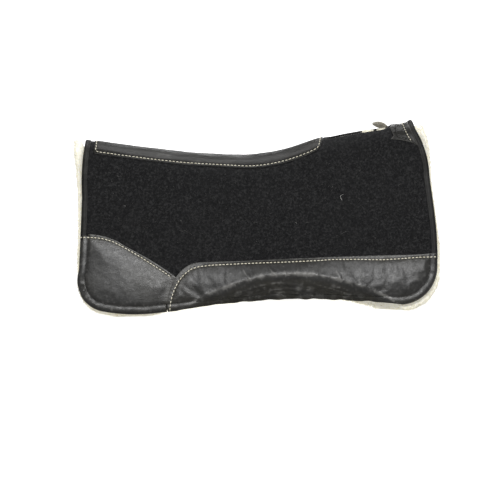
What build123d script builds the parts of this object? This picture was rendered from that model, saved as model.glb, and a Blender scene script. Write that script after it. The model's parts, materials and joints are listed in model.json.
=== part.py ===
from build123d import *
import math
import os

os.makedirs("parts", exist_ok=True)

# Contoured western saddle pad, standing as it drapes: crest along X, front (withers) towards +X.
#
# Each side is a stack of sheets: wear leather, felt, cushion core, fleece.  The crest keeps its
# sewn-in contour; each side swings about a straight flex line just below it, so every sheet that
# crosses that line is made as a crest piece and a flap piece.
# All sheets are offsets of one base surface, the outer face of the felt, trimmed by outlines drawn
# in side view.  On the sides that surface is a sloping flat, with a shallow cylinder where the
# lower edge curls under.  Offsets are positive towards the horse.  Right is -Y, left is +Y.

# ---------------------------------------------------------------- driving dimensions (mm, degrees)
SPLAY = 15.0            # slope of each side from the vertical
HINGE_Y = 58.0          # half width of the felt at the flex line
HINGE_Z = 288.0         # height of the flex line above the floor
CLOSE_LIMIT = 7.0       # how far each side can swing inwards
FLEX_GAP = 0.4          # half gap across the flex line at the flex axis
PIVOT_OUT = 3.0         # the flex axis lies this far outside the felt
SEAM_GAP = 0.1          # half gap between left and right sheets at the crest

LEATHER_OUT, LEATHER_IN = -2.2, -0.2      # wear and spine leather
BIND_OUT, BIND_IN = -1.8, -0.2            # edge binding, outer flange
FELT_OUT, FELT_IN = 0.0, 6.0
CORE_OUT, CORE_IN = 6.3, 14.9
FLANGE_OUT, FLANGE_IN = 15.2, 16.6        # binding and hem, turned-in flange
FLEECE_OUT, FLEECE_IN = 16.9, 27.9
THREAD_OUT, THREAD_IN = -3.0, -2.4        # rows sewn on leather
DARK_OUT, DARK_IN = -2.6, -2.0            # rows sewn on binding

EDGE_WEB = 1.8          # leather thickness at the turned edge
BIND_WIDTH = 13.0       # visible width of the edge binding
HEM_WIDTH = 14.0        # width of the wear leather's turned-in flange
HEM_ROW = 16.0          # hem row, measured in from the edge
THREAD_WIDTH = 1.2
CURL_ANGLE = 50.0       # how far the lower edge is turned under
CURL_X = 72.0           # where along the pad it turns most
CURL_DEPTH = 216.0      # distance below the flex line where it starts there
CURL_RADIUS = 520.0     # radius of the shallow hollow it forms
TOP = 450.0             # outlines are closed off above the crest here

# Crest line of the felt: x, z.
CREST = [
    (-412, 384.4), (-330, 371.5), (-200, 351.8), (-90, 339.4), (-10, 336), (60, 344.2),
    (140, 368.2), (230, 386.6), (320, 396.8), (412, 401.6),
]
VENT = (158.0, 297.0, 17.0)   # opening over the withers: rear x, front x, half width

S, C = math.sin(math.radians(SPLAY)), math.cos(math.radians(SPLAY))


# ---------------------------------------------------------------- base surface
def arch(crest_z):
    """Radius and centre height of the felt's round crest where it is crest_z high."""
    h = crest_z - HINGE_Z
    r = (HINGE_Y * C - h * S) / (1 - S)
    return r, HINGE_Z + h - r


def flap_at(w, d):
    """(y, z) on the right side, w below the flex line, d in from the felt's outer face."""
    return -(HINGE_Y + w * S - d * C), HINGE_Z - w * C - d * S


def crest_half_section(x, crest_z, a, b):
    """Closed section of the right half of a crest sheet between offsets a and b."""
    r, zc = arch(crest_z)

    def line(rho, d):
        top = (-SEAM_GAP, zc + math.sqrt(rho**2 - SEAM_GAP**2))
        mid = (-rho * math.sin(math.radians(37)), zc + rho * math.cos(math.radians(37)))
        return top, mid, (-rho * C, zc + rho * S), flap_at(-FLEX_GAP, d)

    (ta, ma, na, ea), (tb, mb, nb, eb) = line(r - a, a), line(r - b, b)
    with BuildSketch(Plane.YZ.offset(x)) as s:
        with BuildLine():
            ThreePointArc(ta, ma, na)
            Line(na, ea)
            Line(ea, eb)
            Line(eb, nb)
            ThreePointArc(nb, mb, tb)
            Line(tb, ta)
        make_face()
    return s.sketch


def crest_full_section(x, crest_z, a, b, over=0.0):
    """Closed section of a sheet over the crest, from flex line to flex line."""
    r, zc = arch(crest_z)

    def line(rho, d):
        tan = (-rho * C, zc + rho * S)
        end = flap_at(-FLEX_GAP + over, d)
        return end, tan, (0, zc + rho), (-tan[0], tan[1]), (-end[0], end[1])

    oa, ob = line(r - a, a), line(r - b, b)
    with BuildSketch(Plane.YZ.offset(x)) as s:
        with BuildLine():
            Line(oa[0], oa[1])
            ThreePointArc(oa[1], oa[2], oa[3])
            Line(oa[3], oa[4])
            Line(oa[4], ob[4])
            Line(ob[4], ob[3])
            ThreePointArc(ob[3], ob[2], ob[1])
            Line(ob[1], ob[0])
            Line(ob[0], oa[0])
        make_face()
    return s.sketch


def half_sections(a, b):
    return [crest_half_section(x, z, a, b) for x, z in CREST]


def arch_sections(a, b, over=0.0):
    return [crest_full_section(x, z, a, b, over) for x, z in CREST]


def flap_body(d, over=0.0):
    """Everything behind offset d on the right side, below the flex line."""
    wedge = math.tan(math.radians(CLOSE_LIMIT + 1))
    depth = 46.0

    def start(e):
        return flap_at(FLEX_GAP + (e + PIVOT_OUT) * wedge - over, e)

    curl = math.radians(SPLAY - CURL_ANGLE)
    ridge_y, ridge_z = flap_at(CURL_DEPTH, 0)
    down = (0, -math.sin(curl), -math.cos(curl))
    out = (0, -math.cos(curl), math.sin(curl))
    base = [c + CURL_RADIUS * o - 300 * u for c, o, u in
            zip((CURL_X, ridge_y, ridge_z), out, down)]
    with BuildPart() as body:
        with BuildSketch(Plane.YZ.offset(-430 - over)):
            with BuildLine():
                Polyline(start(d), flap_at(360, d), flap_at(360, depth + 60),
                         start(depth + 60), close=True)
            make_face()
        extrude(amount=860 + 2 * over)
        with BuildSketch(Plane(origin=base, z_dir=down)):
            Circle(CURL_RADIUS + d)
        extrude(amount=760, mode=Mode.SUBTRACT)
    return body.part


# ---------------------------------------------------------------- outlines in side view
with BuildSketch(Plane.XZ) as pad_outline:
    with BuildLine():
        Line((-372.4, TOP), (-373.4, 374))
        ThreePointArc((-373.4, 374), (-379.4, 331), (-381.2, 262))
        ThreePointArc((-381.2, 262), (-385.8, 186), (-391.4, 104))
        ThreePointArc((-391.4, 104), (-379.6, 38.4), (-346.5, 17.4))
        ThreePointArc((-346.5, 17.4), (-296, 9.8), (-237, 9.0))
        ThreePointArc((-237, 9.0), (-120, 17.6), (5, 23.4))
        ThreePointArc((5, 23.4), (160, 22.4), (311, 16.0))
        ThreePointArc((311, 16.0), (369.6, 37.8), (395.4, 88))
        ThreePointArc((395.4, 88), (396.8, 140), (391.8, 219.5))
        Line((391.8, 219.5), (384.2, 290))
        ThreePointArc((384.2, 290), (375.6, 346), (352.6, 396.6))
        Line((352.6, 396.6), (343, 412))
        Line((343, 412), (343, TOP))
        Line((343, TOP), (-372.4, TOP))
    make_face()

with BuildSketch(Plane.XZ) as fleece_outline:
    with BuildLine():
        Line((-387, TOP), (-391.4, 380))
        ThreePointArc((-391.4, 380), (-395.8, 362), (-394.6, 332))
        Line((-394.6, 332), (-390.9, 268))
        ThreePointArc((-390.9, 268), (-391.4, 200), (-394.6, 130))
        Line((-394.6, 130), (-394.4, 84))
        ThreePointArc((-394.4, 84), (-380.6, 31.5), (-341, 7.0))
        Line((-341, 7.0), (-310, 0))
        Line((-310, 0), (-244, 0))
        ThreePointArc((-244, 0), (-222, 4.6), (-190, 13.6))
        ThreePointArc((-190, 13.6), (10, 28), (180, 25.0))
        ThreePointArc((180, 25.0), (224, 15.6), (272, 0))
        Line((272, 0), (324, 0))
        ThreePointArc((324, 0), (379.6, 25.4), (400.6, 80))
        ThreePointArc((400.6, 80), (402.4, 130), (397.6, 185))
        Line((397.6, 185), (387.6, 286))
        ThreePointArc((387.6, 286), (386.2, 330), (381, 370))
        Line((381, 370), (355, 410))
        Line((355, 410), (355, TOP))
        Line((355, TOP), (-387, TOP))
    make_face()

# Region of the front wear leather, and of the rear one before the front one is taken off.
with BuildSketch(Plane.XZ) as front_wear_outline:
    with BuildLine():
        Line((-198.4, -40), (-198.2, 18.6))
        ThreePointArc((-198.2, 18.6), (-191, 62), (-168.8, 95.2))
        ThreePointArc((-168.8, 95.2), (-150.8, 108.6), (-128, 114.4))
        Line((-128, 114.4), (66, 118.4))
        Line((66, 118.4), (275, 120.8))
        Line((275, 120.8), (430, 123.4))
        Line((430, 123.4), (430, -40))
        Line((430, -40), (-198.4, -40))
    make_face()

with BuildSketch(Plane.XZ) as rear_wear_outline:
    with BuildLine():
        Line((-430, 178), (-384, 179.8))
        ThreePointArc((-384, 179.8), (-342, 177.6), (-305.5, 164.2))
        Line((-305.5, 164.2), (-243.6, 128.8))
        Line((-243.6, 128.8), (-160, 70))
        Line((-160, 70), (-160, -40))
        Line((-160, -40), (-430, -40))
        Line((-430, -40), (-430, 178))
    make_face()

# Spine leather and the short leather across the withers.
with BuildSketch(Plane.XZ) as spine_outline:
    with BuildLine():
        Line((-346.4, TOP), (-346.4, 378))
        Line((-346.4, 378), (-350.4, 352.4))
        ThreePointArc((-350.4, 352.4), (-200, 329.8), (-20, 313.4))
        ThreePointArc((-20, 313.4), (60, 321.4), (136, 346.6))
        ThreePointArc((136, 346.6), (147.6, 356.6), (151.8, 372))
        Line((151.8, 372), (151.8, TOP))
        Line((151.8, TOP), (-346.4, TOP))
    make_face()

with BuildSketch(Plane.XZ) as bridge_outline:
    with BuildLine():
        Polyline((299.8, TOP), (299.8, 396), (303, 385), (308.3, 375.6), (300.3, 369),
                 (322, 367.4), (345, 362.4), (369.5, 350.2), (400, 346), (400, TOP), close=True)
    make_face()

pad_out = pad_outline.sketch
fleece_edge = fleece_outline.sketch


def drawn_in(sketch, d):
    with BuildSketch(Plane.XZ) as s:
        add(sketch)
        offset(amount=-d, mode=Mode.REPLACE)
    return s.sketch


def row(points, width=THREAD_WIDTH):
    """Narrow strip along a stitch row."""
    sides = []
    for k in (width / 2, -width / 2):
        side = []
        for i, p in enumerate(points):
            a, b = points[max(i - 1, 0)], points[min(i + 1, len(points) - 1)]
            n = math.hypot(b[0] - a[0], b[1] - a[1])
            side.append((p[0] - k * (b[1] - a[1]) / n, p[1] + k * (b[0] - a[0]) / n))
        sides.append(side)
    with BuildSketch(Plane.XZ) as s:
        with BuildLine():
            Polyline(*sides[0], *sides[1][::-1], close=True)
        make_face()
    return s.sketch


def box_face(x0, x1, z0, z1):
    with BuildSketch(Plane.XZ) as s:
        with BuildLine():
            Polyline((x0, z0), (x1, z0), (x1, z1), (x0, z1), close=True)
        make_face()
    return s.sketch


DEPTH = 260.0
pad_core = drawn_in(pad_out, EDGE_WEB)
pad_sheet = drawn_in(pad_out, EDGE_WEB + 0.3)
pad_in_bind = drawn_in(pad_out, BIND_WIDTH)
pad_in_hem = drawn_in(pad_out, HEM_WIDTH)
vent_x, vent_length = (VENT[0] + VENT[1]) / 2, VENT[1] - VENT[0]


def finish(piece, name):
    piece.part.label = name
    export_step(piece.part, "parts/" + name + ".step")


# ================================================================ crest: sheets
with BuildPart() as crest_felt_right:
    loft(half_sections(FELT_OUT, FELT_IN), ruled=True)
    extrude(pad_sheet, amount=DEPTH, both=True, mode=Mode.INTERSECT)
    with BuildSketch(Plane.XY.offset(300)):
        with Locations((vent_x, 0)):
            SlotOverall(vent_length, 2 * VENT[2])
    extrude(amount=TOP - 300, mode=Mode.SUBTRACT)
finish(crest_felt_right, "crest_felt_right")

with BuildPart() as crest_felt_left:
    mirror(crest_felt_right.part, about=Plane.XZ)
finish(crest_felt_left, "crest_felt_left")

with BuildPart() as crest_core_right:
    loft(half_sections(CORE_OUT, CORE_IN), ruled=True)
    extrude(pad_sheet, amount=DEPTH, both=True, mode=Mode.INTERSECT)
    with BuildSketch(Plane.XY.offset(300)):
        with Locations((vent_x, 0)):
            SlotOverall(vent_length, 2 * VENT[2])
    extrude(amount=TOP - 300, mode=Mode.SUBTRACT)
finish(crest_core_right, "crest_core_right")

with BuildPart() as crest_core_left:
    mirror(crest_core_right.part, about=Plane.XZ)
finish(crest_core_left, "crest_core_left")

with BuildPart() as crest_fleece_right:
    loft(half_sections(FLEECE_OUT, FLEECE_IN), ruled=True)
    extrude(fleece_edge, amount=DEPTH, both=True, mode=Mode.INTERSECT)
    with BuildSketch(Plane.XY.offset(290)):
        with Locations((vent_x, 0)):
            SlotOverall(vent_length, 2 * VENT[2])
    extrude(amount=TOP - 290, mode=Mode.SUBTRACT)
finish(crest_fleece_right, "crest_fleece_right")

with BuildPart() as crest_fleece_left:
    mirror(crest_fleece_right.part, about=Plane.XZ)
finish(crest_fleece_left, "crest_fleece_left")

# ================================================================ crest: leathers and bindings
with BuildPart() as spine_leather:
    loft(arch_sections(LEATHER_OUT, LEATHER_IN), ruled=True)
    extrude(spine_outline.sketch, amount=DEPTH, both=True, mode=Mode.INTERSECT)
finish(spine_leather, "spine_leather")

with BuildPart() as wither_bridge_leather:
    loft(arch_sections(LEATHER_OUT, LEATHER_IN), ruled=True)
    extrude(bridge_outline.sketch, amount=DEPTH, both=True, mode=Mode.INTERSECT)
    extrude(drawn_in(pad_out, BIND_WIDTH + 0.4), amount=DEPTH, both=True, mode=Mode.INTERSECT)
finish(wither_bridge_leather, "wither_bridge_leather")

with BuildPart() as crest_filling:
    loft(arch_sections(BIND_IN, FLANGE_OUT, over=2.0), ruled=True)
    extrude(pad_core, amount=DEPTH, both=True, mode=Mode.INTERSECT)

with BuildPart() as rear_binding_crest:
    loft(arch_sections(BIND_OUT, FLANGE_IN), ruled=True)
    extrude(pad_out, amount=DEPTH, both=True, mode=Mode.INTERSECT)
    extrude(box_face(-430, -300, 200, TOP), amount=DEPTH, both=True, mode=Mode.INTERSECT)
    extrude(pad_in_bind, amount=DEPTH, both=True, mode=Mode.SUBTRACT)
    add(crest_filling.part, mode=Mode.SUBTRACT)
finish(rear_binding_crest, "rear_binding_crest")

with BuildPart() as front_binding_crest:
    loft(arch_sections(BIND_OUT, FLANGE_IN), ruled=True)
    extrude(pad_out, amount=DEPTH, both=True, mode=Mode.INTERSECT)
    extrude(box_face(300, 430, 200, TOP), amount=DEPTH, both=True, mode=Mode.INTERSECT)
    extrude(pad_in_bind, amount=DEPTH, both=True, mode=Mode.SUBTRACT)
    add(crest_filling.part, mode=Mode.SUBTRACT)
finish(front_binding_crest, "front_binding_crest")

# ================================================================ crest: stitch rows
spine_row = [
    (-342.6, TOP), (-342.6, 377), (-345.6, 357.0), (-310, 352.0), (-262.8, 345.2),
    (-181, 333.0), (-88.8, 322.0), (-18, 318.4), (41, 323.0), (95, 336.6), (128, 349.0),
    (140, 357.6), (146.0, 372), (146.4, TOP),
]
with BuildPart() as spine_leather_stitching:
    loft(arch_sections(THREAD_OUT, THREAD_IN), ruled=True)
    extrude(row(spine_row), amount=DEPTH, both=True, mode=Mode.INTERSECT)
finish(spine_leather_stitching, "spine_leather_stitching")

with BuildPart() as wither_bridge_stitching:
    loft(arch_sections(THREAD_OUT, THREAD_IN), ruled=True)
    extrude(row([(313, TOP), (313, 384), (317.6, 373), (325, 370.4)])
            + row([(329.5, TOP), (330.6, 394), (336, 380), (344.4, 366.6)]),
            amount=DEPTH, both=True, mode=Mode.INTERSECT)
finish(wither_bridge_stitching, "wither_bridge_stitching")

with BuildPart() as vent_stitching:
    loft(arch_sections(-0.8, -0.2), ruled=True)
    with BuildSketch(Plane.XY.offset(300)):
        with Locations((vent_x, 0)):
            SlotOverall(vent_length + 8.4, 2 * VENT[2] + 9.2)
            SlotOverall(vent_length + 6.0, 2 * VENT[2] + 6.8, mode=Mode.SUBTRACT)
    extrude(amount=TOP - 300, mode=Mode.INTERSECT)
    extrude(box_face(153.0, 298.9, 300, TOP), amount=DEPTH, both=True, mode=Mode.INTERSECT)
finish(vent_stitching, "vent_stitching")

# ================================================================ right flap: sheets
with BuildPart() as felt_right:
    add(flap_body(FELT_OUT))
    add(flap_body(FELT_IN, over=3), mode=Mode.SUBTRACT)
    extrude(pad_sheet, amount=DEPTH, both=True, mode=Mode.INTERSECT)
finish(felt_right, "felt_right")

with BuildPart() as core_right:
    add(flap_body(CORE_OUT))
    add(flap_body(CORE_IN, over=3), mode=Mode.SUBTRACT)
    extrude(pad_sheet, amount=DEPTH, both=True, mode=Mode.INTERSECT)
finish(core_right, "core_right")

with BuildPart() as fleece_right:
    add(flap_body(FLEECE_OUT))
    add(flap_body(FLEECE_IN, over=3), mode=Mode.SUBTRACT)
    extrude(fleece_edge, amount=DEPTH, both=True, mode=Mode.INTERSECT)
finish(fleece_right, "fleece_right")

# ================================================================ right flap: wear leathers
with BuildPart() as flap_filling:
    add(flap_body(LEATHER_IN, over=3))
    add(flap_body(FLANGE_OUT, over=6), mode=Mode.SUBTRACT)
    extrude(pad_core, amount=DEPTH, both=True, mode=Mode.INTERSECT)

with BuildPart() as hem_filling:
    add(flap_body(FLANGE_OUT - 0.6, over=3))
    extrude(pad_in_hem, amount=DEPTH, both=True, mode=Mode.INTERSECT)

with BuildPart() as hem_shell:
    add(flap_body(LEATHER_OUT))
    add(flap_body(FLANGE_IN, over=3), mode=Mode.SUBTRACT)
    extrude(pad_out, amount=DEPTH, both=True, mode=Mode.INTERSECT)
    add(flap_filling.part, mode=Mode.SUBTRACT)
    add(hem_filling.part, mode=Mode.SUBTRACT)

with BuildPart() as front_wear_leather_right:
    add(hem_shell.part)
    extrude(front_wear_outline.sketch, amount=DEPTH, both=True, mode=Mode.INTERSECT)
finish(front_wear_leather_right, "front_wear_leather_right")

with BuildPart() as rear_wear_leather_right:
    add(hem_shell.part)
    extrude(rear_wear_outline.sketch, amount=DEPTH, both=True, mode=Mode.INTERSECT)
    extrude(drawn_in(front_wear_outline.sketch, -0.4), amount=DEPTH, both=True,
            mode=Mode.SUBTRACT)
finish(rear_wear_leather_right, "rear_wear_leather_right")

# ================================================================ right flap: bindings
with BuildPart() as binding_shell:
    add(flap_body(BIND_OUT))
    add(flap_body(FLANGE_IN, over=3), mode=Mode.SUBTRACT)
    extrude(pad_out, amount=DEPTH, both=True, mode=Mode.INTERSECT)
    extrude(pad_in_bind, amount=DEPTH, both=True, mode=Mode.SUBTRACT)
    add(flap_filling.part, mode=Mode.SUBTRACT)

with BuildPart() as rear_binding_right:
    add(binding_shell.part)
    extrude(box_face(-430, -300, 182.0, TOP), amount=DEPTH, both=True, mode=Mode.INTERSECT)
finish(rear_binding_right, "rear_binding_right")

with BuildPart() as front_binding_right:
    add(binding_shell.part)
    extrude(box_face(300, 430, 124.6, TOP), amount=DEPTH, both=True, mode=Mode.INTERSECT)
finish(front_binding_right, "front_binding_right")

# ================================================================ right flap: stitch rows
with BuildPart() as pale_thread_layer:
    add(flap_body(THREAD_OUT))
    add(flap_body(THREAD_IN, over=3), mode=Mode.SUBTRACT)

with BuildPart() as front_wear_stitching_right:
    add(pale_thread_layer.part)
    extrude(row([(-193.2, 14.5), (-191, 31.9), (-186.9, 47.4), (-180.7, 61.9), (-172.6, 75.6),
                 (-160.6, 89.4), (-146.5, 99.6), (-129.6, 105.4), (-100.2, 108.1), (-12.2, 110.2),
                 (138.4, 113), (304.4, 113.6), (394, 115)]),
            amount=DEPTH, both=True, mode=Mode.INTERSECT)
finish(front_wear_stitching_right, "front_wear_stitching_right")

with BuildPart() as rear_wear_stitching_right:
    add(pale_thread_layer.part)
    extrude(row([(-389, 174.2), (-360.3, 173.5), (-338, 170.6), (-318, 164.4), (-301.7, 156.6),
                 (-243, 121.8), (-192.4, 86.6)]),
            amount=DEPTH, both=True, mode=Mode.INTERSECT)
finish(rear_wear_stitching_right, "rear_wear_stitching_right")

with BuildPart() as binding_stitching_right:
    add(flap_body(DARK_OUT))
    add(flap_body(DARK_IN, over=3), mode=Mode.SUBTRACT)
    extrude(drawn_in(pad_out, BIND_WIDTH - 3.6), amount=DEPTH, both=True, mode=Mode.INTERSECT)
    extrude(drawn_in(pad_out, BIND_WIDTH - 2.6), amount=DEPTH, both=True, mode=Mode.SUBTRACT)
    extrude(box_face(-430, -300, 184.0, TOP) + box_face(300, 430, 126.4, TOP), amount=DEPTH,
            both=True, mode=Mode.INTERSECT)
finish(binding_stitching_right, "binding_stitching_right")

with BuildPart() as hem_stitching_right:
    add(pale_thread_layer.part)
    extrude(drawn_in(pad_out, HEM_ROW - 0.5), amount=DEPTH, both=True, mode=Mode.INTERSECT)
    extrude(drawn_in(pad_out, HEM_ROW + 0.5), amount=DEPTH, both=True, mode=Mode.SUBTRACT)
    extrude(box_face(-430, -214, -20, 166) + box_face(-182, 430, -20, 106), amount=DEPTH,
            both=True, mode=Mode.INTERSECT)
finish(hem_stitching_right, "hem_stitching_right")

# ================================================================ left flap: mirror image
with BuildPart() as felt_left:
    mirror(felt_right.part, about=Plane.XZ)
finish(felt_left, "felt_left")

with BuildPart() as core_left:
    mirror(core_right.part, about=Plane.XZ)
finish(core_left, "core_left")

with BuildPart() as fleece_left:
    mirror(fleece_right.part, about=Plane.XZ)
finish(fleece_left, "fleece_left")

with BuildPart() as front_wear_leather_left:
    mirror(front_wear_leather_right.part, about=Plane.XZ)
finish(front_wear_leather_left, "front_wear_leather_left")

with BuildPart() as rear_wear_leather_left:
    mirror(rear_wear_leather_right.part, about=Plane.XZ)
finish(rear_wear_leather_left, "rear_wear_leather_left")

with BuildPart() as rear_binding_left:
    mirror(rear_binding_right.part, about=Plane.XZ)
finish(rear_binding_left, "rear_binding_left")

with BuildPart() as front_binding_left:
    mirror(front_binding_right.part, about=Plane.XZ)
finish(front_binding_left, "front_binding_left")

with BuildPart() as front_wear_stitching_left:
    mirror(front_wear_stitching_right.part, about=Plane.XZ)
finish(front_wear_stitching_left, "front_wear_stitching_left")

with BuildPart() as rear_wear_stitching_left:
    mirror(rear_wear_stitching_right.part, about=Plane.XZ)
finish(rear_wear_stitching_left, "rear_wear_stitching_left")

with BuildPart() as binding_stitching_left:
    mirror(binding_stitching_right.part, about=Plane.XZ)
finish(binding_stitching_left, "binding_stitching_left")

with BuildPart() as hem_stitching_left:
    mirror(hem_stitching_right.part, about=Plane.XZ)
finish(hem_stitching_left, "hem_stitching_left")
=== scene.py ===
import json
import math

import bpy
import bmesh
import numpy as np
from mathutils import Matrix, Vector, noise
from mathutils.geometry import delaunay_2d_cdt

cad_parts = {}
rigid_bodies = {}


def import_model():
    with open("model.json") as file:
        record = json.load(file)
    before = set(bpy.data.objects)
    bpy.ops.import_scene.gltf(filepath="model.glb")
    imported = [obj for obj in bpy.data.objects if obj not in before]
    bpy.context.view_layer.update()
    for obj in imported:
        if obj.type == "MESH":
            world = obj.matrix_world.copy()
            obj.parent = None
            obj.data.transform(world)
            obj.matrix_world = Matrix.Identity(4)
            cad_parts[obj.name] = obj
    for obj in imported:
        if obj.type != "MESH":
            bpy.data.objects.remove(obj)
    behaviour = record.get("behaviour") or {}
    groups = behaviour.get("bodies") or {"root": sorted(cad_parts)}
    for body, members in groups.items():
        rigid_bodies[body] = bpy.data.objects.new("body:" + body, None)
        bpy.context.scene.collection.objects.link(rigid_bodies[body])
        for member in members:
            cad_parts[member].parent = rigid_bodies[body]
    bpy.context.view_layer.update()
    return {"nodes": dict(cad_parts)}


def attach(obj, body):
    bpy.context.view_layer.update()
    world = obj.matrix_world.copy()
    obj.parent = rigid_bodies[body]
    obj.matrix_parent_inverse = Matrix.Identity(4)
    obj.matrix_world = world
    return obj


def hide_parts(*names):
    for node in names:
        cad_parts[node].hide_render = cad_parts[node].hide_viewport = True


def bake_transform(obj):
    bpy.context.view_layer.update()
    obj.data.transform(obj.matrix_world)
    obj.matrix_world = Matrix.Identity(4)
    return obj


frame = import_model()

# Lengths here are in millimetres; meshes are written in metres.
SPLAY = math.radians(15.0)
S, C = math.sin(SPLAY), math.cos(SPLAY)
HY, HZ = 58.0, 288.0
CURL, CURL_X, CURL_W, CURL_R = math.radians(50.0), 72.0, 216.0, 520.0
FOLD = 25.0             # length over which the lower edge turns under
CREST = np.array([
    (-412, 384.4), (-330, 371.5), (-200, 351.8), (-90, 339.4), (-10, 336.0), (60, 344.2),
    (140, 368.2), (230, 386.6), (320, 396.8), (412, 401.6)], float)
VENT = (158.0, 297.0, 17.0)


# ---------------------------------------------------------------- base surface
def crest_z(x):
    x = np.asarray(x, float)
    xs, zs = CREST[:, 0], CREST[:, 1]
    m = np.gradient(zs, xs)
    i = np.clip(np.searchsorted(xs, x) - 1, 0, len(xs) - 2)
    h = xs[i + 1] - xs[i]
    t = np.clip((x - xs[i]) / h, -0.2, 1.2)
    return ((2 * t**3 - 3 * t**2 + 1) * zs[i] + (t**3 - 2 * t**2 + t) * h * m[i]
            + (3 * t**2 - 2 * t**3) * zs[i + 1] + (t**3 - t**2) * h * m[i + 1])


def arch(x):
    """Crest radius, centre height, and how far above the flex line the round part starts."""
    h = crest_z(x) - HZ
    r = (HY * C - h * S) / (1 - S)
    zc = HZ + h - r
    return r, zc, (zc + r * S - HZ) / C


TOP_TURN = math.radians(75.0)


def w_top(x):
    r, zc, lt = arch(x)
    return -lt - r * TOP_TURN


def ridge(x):
    return CURL_W + (np.asarray(x, float) - CURL_X)**2 / (2 * CURL_R * math.sin(CURL))


_q = np.linspace(0, FOLD, 801)
_t = _q / FOLD
_a = SPLAY - CURL * _t * _t * (3 - 2 * _t)
_is = np.concatenate([[0], np.cumsum((np.sin(_a[1:]) + np.sin(_a[:-1])) / 2 * np.diff(_q))])
_ic = np.concatenate([[0], np.cumsum((np.cos(_a[1:]) + np.cos(_a[:-1])) / 2 * np.diff(_q))])
_low = SPLAY - CURL


def surf(x, w, d, side=-1):
    """Points at x, w below the flex line, d in from the felt's face. side -1 is right, +1 left."""
    x, w, d = np.broadcast_arrays(np.asarray(x, float), np.asarray(w, float), np.asarray(d, float))
    r, zc, lt = arch(x)
    q0 = ridge(x) - FOLD / 2
    q = w - q0
    a = np.full(x.shape, SPLAY)
    y = HY + w * S
    z = HZ - w * C
    m = q > 0
    if m.any():
        qq = np.clip(q[m], 0, FOLD)
        extra = np.maximum(q[m] - FOLD, 0)
        y[m] = HY + q0[m] * S + np.interp(qq, _q, _is) + extra * math.sin(_low)
        z[m] = HZ - q0[m] * C - np.interp(qq, _q, _ic) - extra * math.cos(_low)
        a[m] = np.interp(qq, _q, _a)
    y = y - d * np.cos(a)
    z = z - d * np.sin(a)
    m = w < -lt
    if m.any():
        ang = SPLAY + (-lt[m] - w[m]) / r[m]
        y[m] = (r[m] - d[m]) * np.cos(ang)
        z[m] = zc[m] + (r[m] - d[m]) * np.sin(ang)
    return np.stack([x, side * y, z], -1)


def w_at(x, z, d=0.0):
    """Distance below the flex line at which the surface has height z."""
    x, z = np.broadcast_arrays(np.asarray(x, float), np.asarray(z, float))
    lo, hi = w_top(x).copy(), np.full(x.shape, 380.0)
    for _ in range(44):
        mid = (lo + hi) / 2
        up = surf(x, mid, d)[..., 2] > z
        lo, hi = np.where(up, mid, lo), np.where(up, hi, mid)
    return (lo + hi) / 2


def smooth(t):
    t = np.clip(t, 0, 1)
    return t * t * (3 - 2 * t)


def noise_at(p, scale, seed=0.0, octaves=1):
    """Smooth noise about -1 to 1 at 3-D points in mm, features about scale mm."""
    p = np.asarray(p, float)
    if p.shape[-1] == 2:
        p = np.concatenate([p, np.zeros(p.shape[:-1] + (1,))], -1)
    out = np.zeros(len(p))
    for o in range(octaves):
        k = 2.0**o / scale
        off = seed * 7.31 + o * 19.7
        out += np.array([noise.noise(Vector((a * k + off, b * k - off, c * k + off * 0.5)))
                         for a, b, c in p]) / 1.7**o
    return out


# ---------------------------------------------------------------- outlines
def arc3(a, b, c, n=24):
    """Points on the circle through a, b, c, from a to c."""
    (ax, ay), (bx, by), (cx, cy) = a, b, c
    d = 2 * (ax * (by - cy) + bx * (cy - ay) + cx * (ay - by))
    ux = ((ax**2 + ay**2) * (by - cy) + (bx**2 + by**2) * (cy - ay) + (cx**2 + cy**2) * (ay - by)) / d
    uy = ((ax**2 + ay**2) * (cx - bx) + (bx**2 + by**2) * (ax - cx) + (cx**2 + cy**2) * (bx - ax)) / d
    r = math.hypot(ax - ux, ay - uy)
    t0, t1, t2 = (math.atan2(p[1] - uy, p[0] - ux) for p in (a, b, c))
    d1 = (t1 - t0) % (2 * math.pi)
    d2 = (t2 - t0) % (2 * math.pi)
    if d1 > d2:
        d2 -= 2 * math.pi
    return [(ux + r * math.cos(t0 + d2 * i / n), uy + r * math.sin(t0 + d2 * i / n)) for i in range(n + 1)]


def chain(*parts):
    out = []
    for p in parts:
        for q in p:
            if not out or math.hypot(out[-1][0] - q[0], out[-1][1] - q[1]) > 1e-4:
                out.append(q)
    return out


def even(points, step, closed=False):
    """The polyline resampled at an even step."""
    p = np.asarray(points, float)
    if closed:
        p = np.vstack([p, p[:1]])
    seg = np.hypot(*np.diff(p, axis=0).T)
    keep = np.concatenate([[True], seg > 1e-9])
    p = p[keep]
    s = np.concatenate([[0], np.cumsum(np.hypot(*np.diff(p, axis=0).T))])
    n = max(2, int(round(s[-1] / step)) + 1)
    t = np.linspace(0, s[-1], n)
    out = np.stack([np.interp(t, s, p[:, 0]), np.interp(t, s, p[:, 1])], -1)
    return out[:-1] if closed else out


def soften(p, n):
    """Polyline with its corners eased, ends kept."""
    p = p.copy()
    for _ in range(n):
        p[1:-1] = p[1:-1] * 0.5 + (p[:-2] + p[2:]) * 0.25
    return p


def to_xw(points, d=0.0, step=4.0):
    """A side-view polyline (x, z) as (x, w)."""
    p = even(points, step)
    return np.stack([p[:, 0], w_at(p[:, 0], p[:, 1], d)], -1)


def inward(p):
    """Unit normals pointing to the left of travel in (x, -w): into the pad on the edge lines."""
    t = np.gradient(p, axis=0)
    t /= np.maximum(np.hypot(t[:, 0], t[:, 1])[:, None], 1e-9)
    return np.stack([t[:, 1], -t[:, 0]], -1)


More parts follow.
